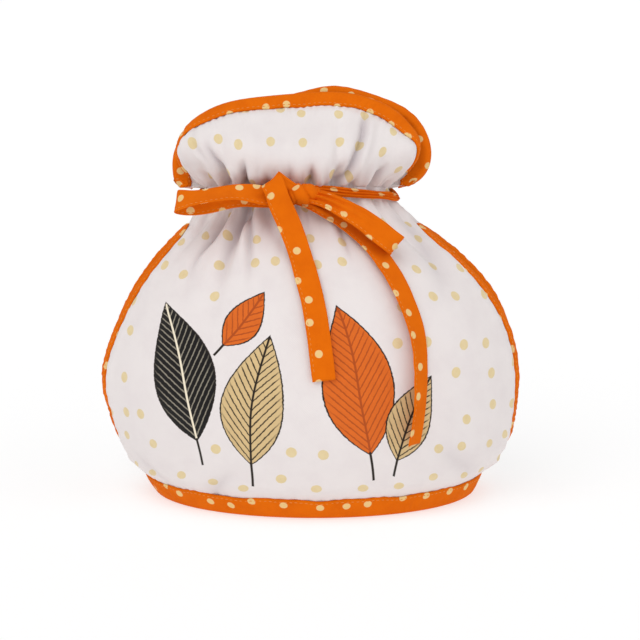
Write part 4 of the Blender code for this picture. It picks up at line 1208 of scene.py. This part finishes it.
def leaf(finish, shape, u, v, color, dots_u, dots_v):
    """Draws one leaf over a colour. Its half width is a lopsided parabola along a bent middle line; it has a
    middle vein, side veins that slope back from it, a dark outline and a short stalk. Returns the new colour,
    and where dots are kept clear of it."""
    turn = math.radians(shape.lean)
    cos, sin = math.cos(turn), math.sin(turn)
    x, y = finish.u - u, finish.v - v
    along = (x * sin + y * cos) / shape.length + 0.5
    lens = along * (1 - along)
    aside = x * cos - y * sin - lens * (4 * shape.bend)
    half = lens * (2.35 * shape.width) * (1.25 - 0.5 * along)
    rag = (finish.noise(520.0) - 0.5) * LEAF_RAG
    edge = abs(aside) - half + rag
    inside = (1 - edge.rise(-0.0003, 0.0003)) * (along > 0.0) * (along < 1.0)
    tone = finish.noise(140.0, 3.0)
    color = finish.mixed(inside, color, finish.mixed(tone * 0.45, shape.ink, darker(shape.ink, 0.62)))
    slope = (along * shape.length - abs(aside) * VEIN_SLOPE) / VEIN_PITCH + rag * 260
    hatch = abs(slope.part() - 0.5)
    fade = 1 - (abs(aside) / (half.most(0.0001))).rise(0.72, 1.0) * 0.8
    side_veins = (1 - hatch.rise(0.06, 0.17)) * fade * inside * shape.veins
    middle = (1 - abs(aside).rise(0.0004, 0.0009)) * inside
    color = finish.mixed(side_veins.most(middle), color, shape.vein)
    stalk = (1 - abs(aside + along * 0.004).rise(0.0005, 0.0010)) * (along > -0.20) * (along < 0.02)
    outline = (1 - abs(edge).rise(0.0002, 0.0007)) * (along > -0.02) * (along < 1.02)
    color = finish.mixed(stalk.most(outline), color, DARK)
    x, y = dots_u - u, dots_v - v
    long, wide = (x * sin + y * cos) / (shape.length * 0.60), (x * cos - y * sin) / (shape.width * 0.86)
    return color, (long * long + wide * wide) < 1.0


def printed_cotton(panel):
    """Pale cotton with sand dots and leaves, and painted shade darkening its creases. The inside of the panel
    is the same cotton without its print.
    """
    finish = Finish("printed_cotton", roughness=0.88, sheen=0.25, tint=(1.0, 0.97, 0.96, 1))
    print_and_crease_shade = finish.mixed(finish.noise(55.0, 3.0, 0.6).rise(0.35, 0.75), PALE, PALE_SHADE)
    dot, (dot_u, dot_v) = finish.dots(pitch=0.0222, radius=0.0032, unevenness=0.48, wander=0.0005)
    clear = None
    for shape in LEAVES if panel.side == FRONT else ():
        u, v = panel.flat[panel.nearest(shape.across, shape.level)]
        print_and_crease_shade, near = leaf(finish, shape, u, v, print_and_crease_shade, dot_u, dot_v)
        clear = near if clear is None else clear.most(near)
    dot = dot if clear is None else dot * (1 - clear)
    print_and_crease_shade = finish.mixed(dot, print_and_crease_shade, finish.mixed(finish.noise(240.0, 3.0), SAND_DOT, SAND_DOT_LIGHT))
    # Painted shade: the deeper a crease, the darker the colour is multiplied there, in place of the shade
    # that falls in it.
    print_and_crease_shade = finish.mixed(finish.attribute("folded") * 0.75, print_and_crease_shade, CREASE_PAINTED_SHADE, "MULTIPLY")
    finish.put("Base Color", finish.mixed(finish.attribute("lining"), print_and_crease_shade, LINING))
    finish.weave(yarn=0.00050, depth=0.00016, slubs=0.5)
    return finish.material


def spotted_cotton():
    """Orange cotton with cream dots."""
    finish = Finish("spotted_cotton", roughness=0.85, sheen=0.04, tint=(1.0, 0.50, 0.10, 1), gloss=0.06)
    color = finish.mixed(finish.noise(70.0, 3.0, 0.6).rise(0.3, 0.75), ORANGE, ORANGE_SHADE)
    dot, _ = finish.dots(pitch=0.0168, radius=0.0023, unevenness=0.45, wander=0.0004)
    finish.put("Base Color", finish.mixed(dot, color, CREAM_DOT))
    finish.weave(yarn=0.00045, depth=0.00016, slubs=0.5)
    return finish.material


def orange_thread():
    """Twisted sewing thread, with a fine uneven bump."""
    finish = Finish("orange_thread", roughness=0.6, sheen=0.3, tint=(1.0, 0.8, 0.6, 1))
    place = finish.node("ShaderNodeTexCoord", {}, {}).outputs["Object"]
    tone = finish.noise(1500.0, 2.0, 0.5, place)
    finish.put("Base Color", finish.mixed(tone, THREAD, darker(THREAD, 0.8)))
    finish.bump(0.4, 0.0001, finish.noise(2600.0, 1.0, 0.5, place))
    return finish.material


def placed(obj, material, slot, *nodes):
    """Gives a piece its finish and its body, and hides the parts of the solids that it stands for. The slot
    is not used.
    """
    obj.data.materials.append(material)
    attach(obj, BODY)
    if nodes:
        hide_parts(*nodes)
    return obj


def make_panels():
    for name, node, side in (("front_cloth", "front_panel", FRONT), ("back_cloth", "back_panel", BACK)):
        panel = Panel(side)
        points, flat, shares = panel.sections()
        obj = placed(loft(name, points, flat, shares=shares), printed_cotton(panel), "printed_cotton", node)


def bind(name, place, turn, width, seed, finishes, closed=True, fold=PLAIN_FOLD):
    """Makes one binding and its stitches."""
    cotton, thread = finishes
    obj, seams = binding(f"{name}_strip", place, turn, width, seed, closed, fold)
    placed(obj, cotton, "spotted_cotton", f"{name}_binding")
    sewn = placed(stitches(f"{name}_stitches", seams), thread, "spotted_cotton")


def make_bindings(finishes):
    """The five bindings: the hem's and the slits' all the way round, and the two on the frill's edges."""
    turn = np.linspace(0, 2 * np.pi, HEM_COLUMNS, endpoint=False)
    shares = np.linspace(0, 1, HEM_COLUMNS // 2, endpoint=False)
    hem = all_round(hem_place(shares, FRONT), hem_place(1 - shares, BACK))
    width = np.full(HEM_COLUMNS, HEM_BINDING_HEIGHT)
    bind("hem", hem, turn, width, 51, finishes, fold=HEM_FOLD)

    turn = np.linspace(0, 2 * np.pi, SLIT_COLUMNS, endpoint=False)
    width = np.full(SLIT_COLUMNS, SLIT_BINDING_WIDTH)
    for name, mirrored, seed in (("left_slit", False, 61), ("right_slit", True, 71)):
        bind(name, slit_place(turn, mirrored), turn, width, seed, finishes)

    across = np.linspace(0.055, 0.945, FRILL_COLUMNS)
    place, width = frill_place(across, FRONT), frill_binding_width(across, FRONT)
    bind("front_frill", place, np.pi * across, width, 81, finishes, closed=False)

    # The back half's strip starts down in the frill's end, turns the corner and runs along the edge.
    tail, corner = np.linspace(0.60, 0.98, TAIL_COLUMNS), np.linspace(90, 0, CORNER_COLUMNS)
    ends = TAIL_COLUMNS + CORNER_COLUMNS
    across = np.concatenate([np.zeros(ends), np.linspace(0.002, 0.998, FRILL_COLUMNS), np.ones(ends)])
    share = np.concatenate([tail, np.ones(FRILL_COLUMNS + 2 * CORNER_COLUMNS), tail[::-1]])
    turned = np.concatenate([np.full(TAIL_COLUMNS, 90), corner, np.zeros(FRILL_COLUMNS // 2)])
    turned = np.concatenate([turned, -turned[::-1]])
    place = cornered_place(across, share, turned, BACK)
    width = frill_binding_width(across, BACK) * (0.6 + 0.4 * ease((share - 0.6) / 0.4))
    turn = np.linspace(0, np.pi, len(across))
    bind("back_frill", place, turn, width, 91, finishes, closed=False)


def make_tie(finishes):
    """The tie, in the pieces that show: round the neck, the knot, two loops and two ends."""
    cotton, thread = finishes
    band, knot = tie_band(101), tie_knot()
    for obj in (band, knot):
        placed(obj, cotton, "spotted_cotton", "tie")
    for strip in STRIPS:
        obj, seams, long = tie_strip(strip)
        placed(obj, cotton, "spotted_cotton", "tie")
        sewn = placed(stitches(f"{strip.name}_stitches", seams), thread, "spotted_cotton")


def aimed(name, data, place, target):
    """A lamp or a camera that stands at a place and points at a target."""
    obj = bpy.data.objects.new(name, data)
    obj.location = place
    obj.rotation_euler = (target - Vector(place)).to_track_quat("-Z", "Y").to_euler()
    bpy.context.scene.collection.objects.link(obj)
    return obj


def studio():
    """A pale floor, soft light from above and the front, and the camera at the photograph's angle."""
    mesh = bpy.data.meshes.new("floor")
    turn = np.linspace(0, 2 * np.pi, 64, endpoint=False)
    ring = np.stack([np.cos(turn), np.sin(turn), 0 * turn - FLOOR_BELOW / FLOOR_RADIUS], axis=-1)
    mesh.from_pydata((ring * FLOOR_RADIUS).tolist(), [], [list(range(len(ring)))])
    pale = bpy.data.materials.new("pale_floor")
    pale.use_nodes = True
    sockets = pale.node_tree.nodes["Principled BSDF"].inputs
    sockets["Base Color"].default_value = FLOOR_COLOR
    sockets["Roughness"].default_value = 0.9
    sockets["Emission Color"].default_value = WHITE
    sockets["Emission Strength"].default_value = FLOOR_GLOW
    mesh.materials.append(pale)
    floor = bpy.data.objects.new("floor", mesh)
    bpy.context.scene.collection.objects.link(floor)

    world = bpy.data.worlds.new("studio")
    world.use_nodes = True
    sky = world.node_tree.nodes["Background"].inputs
    sky["Color"].default_value, sky["Strength"].default_value = WHITE, SKY_STRENGTH
    bpy.context.scene.world = world

    for lamp in LAMPS:
        light = bpy.data.lights.new(lamp.name, "SUN")
        light.angle, light.energy = math.radians(lamp.softness), lamp.strength
        aimed(lamp.name, light, lamp.place, Vector(LAMPS_AIM))

    view = bpy.data.cameras.new("camera")
    view.lens, view.sensor_width = VIEW_LENS, VIEW_SENSOR
    target, elevation = Vector(VIEW_TARGET), math.radians(VIEW_ELEVATION)
    away = Vector((0, -math.cos(elevation), math.sin(elevation))) * VIEW_DISTANCE
    bpy.context.scene.camera = aimed("camera", view, target + away, target)
    bpy.context.scene.view_settings.view_transform = "Standard"


studio()
make_panels()
finishes = spotted_cotton(), orange_thread()
make_bindings(finishes)
make_tie(finishes)
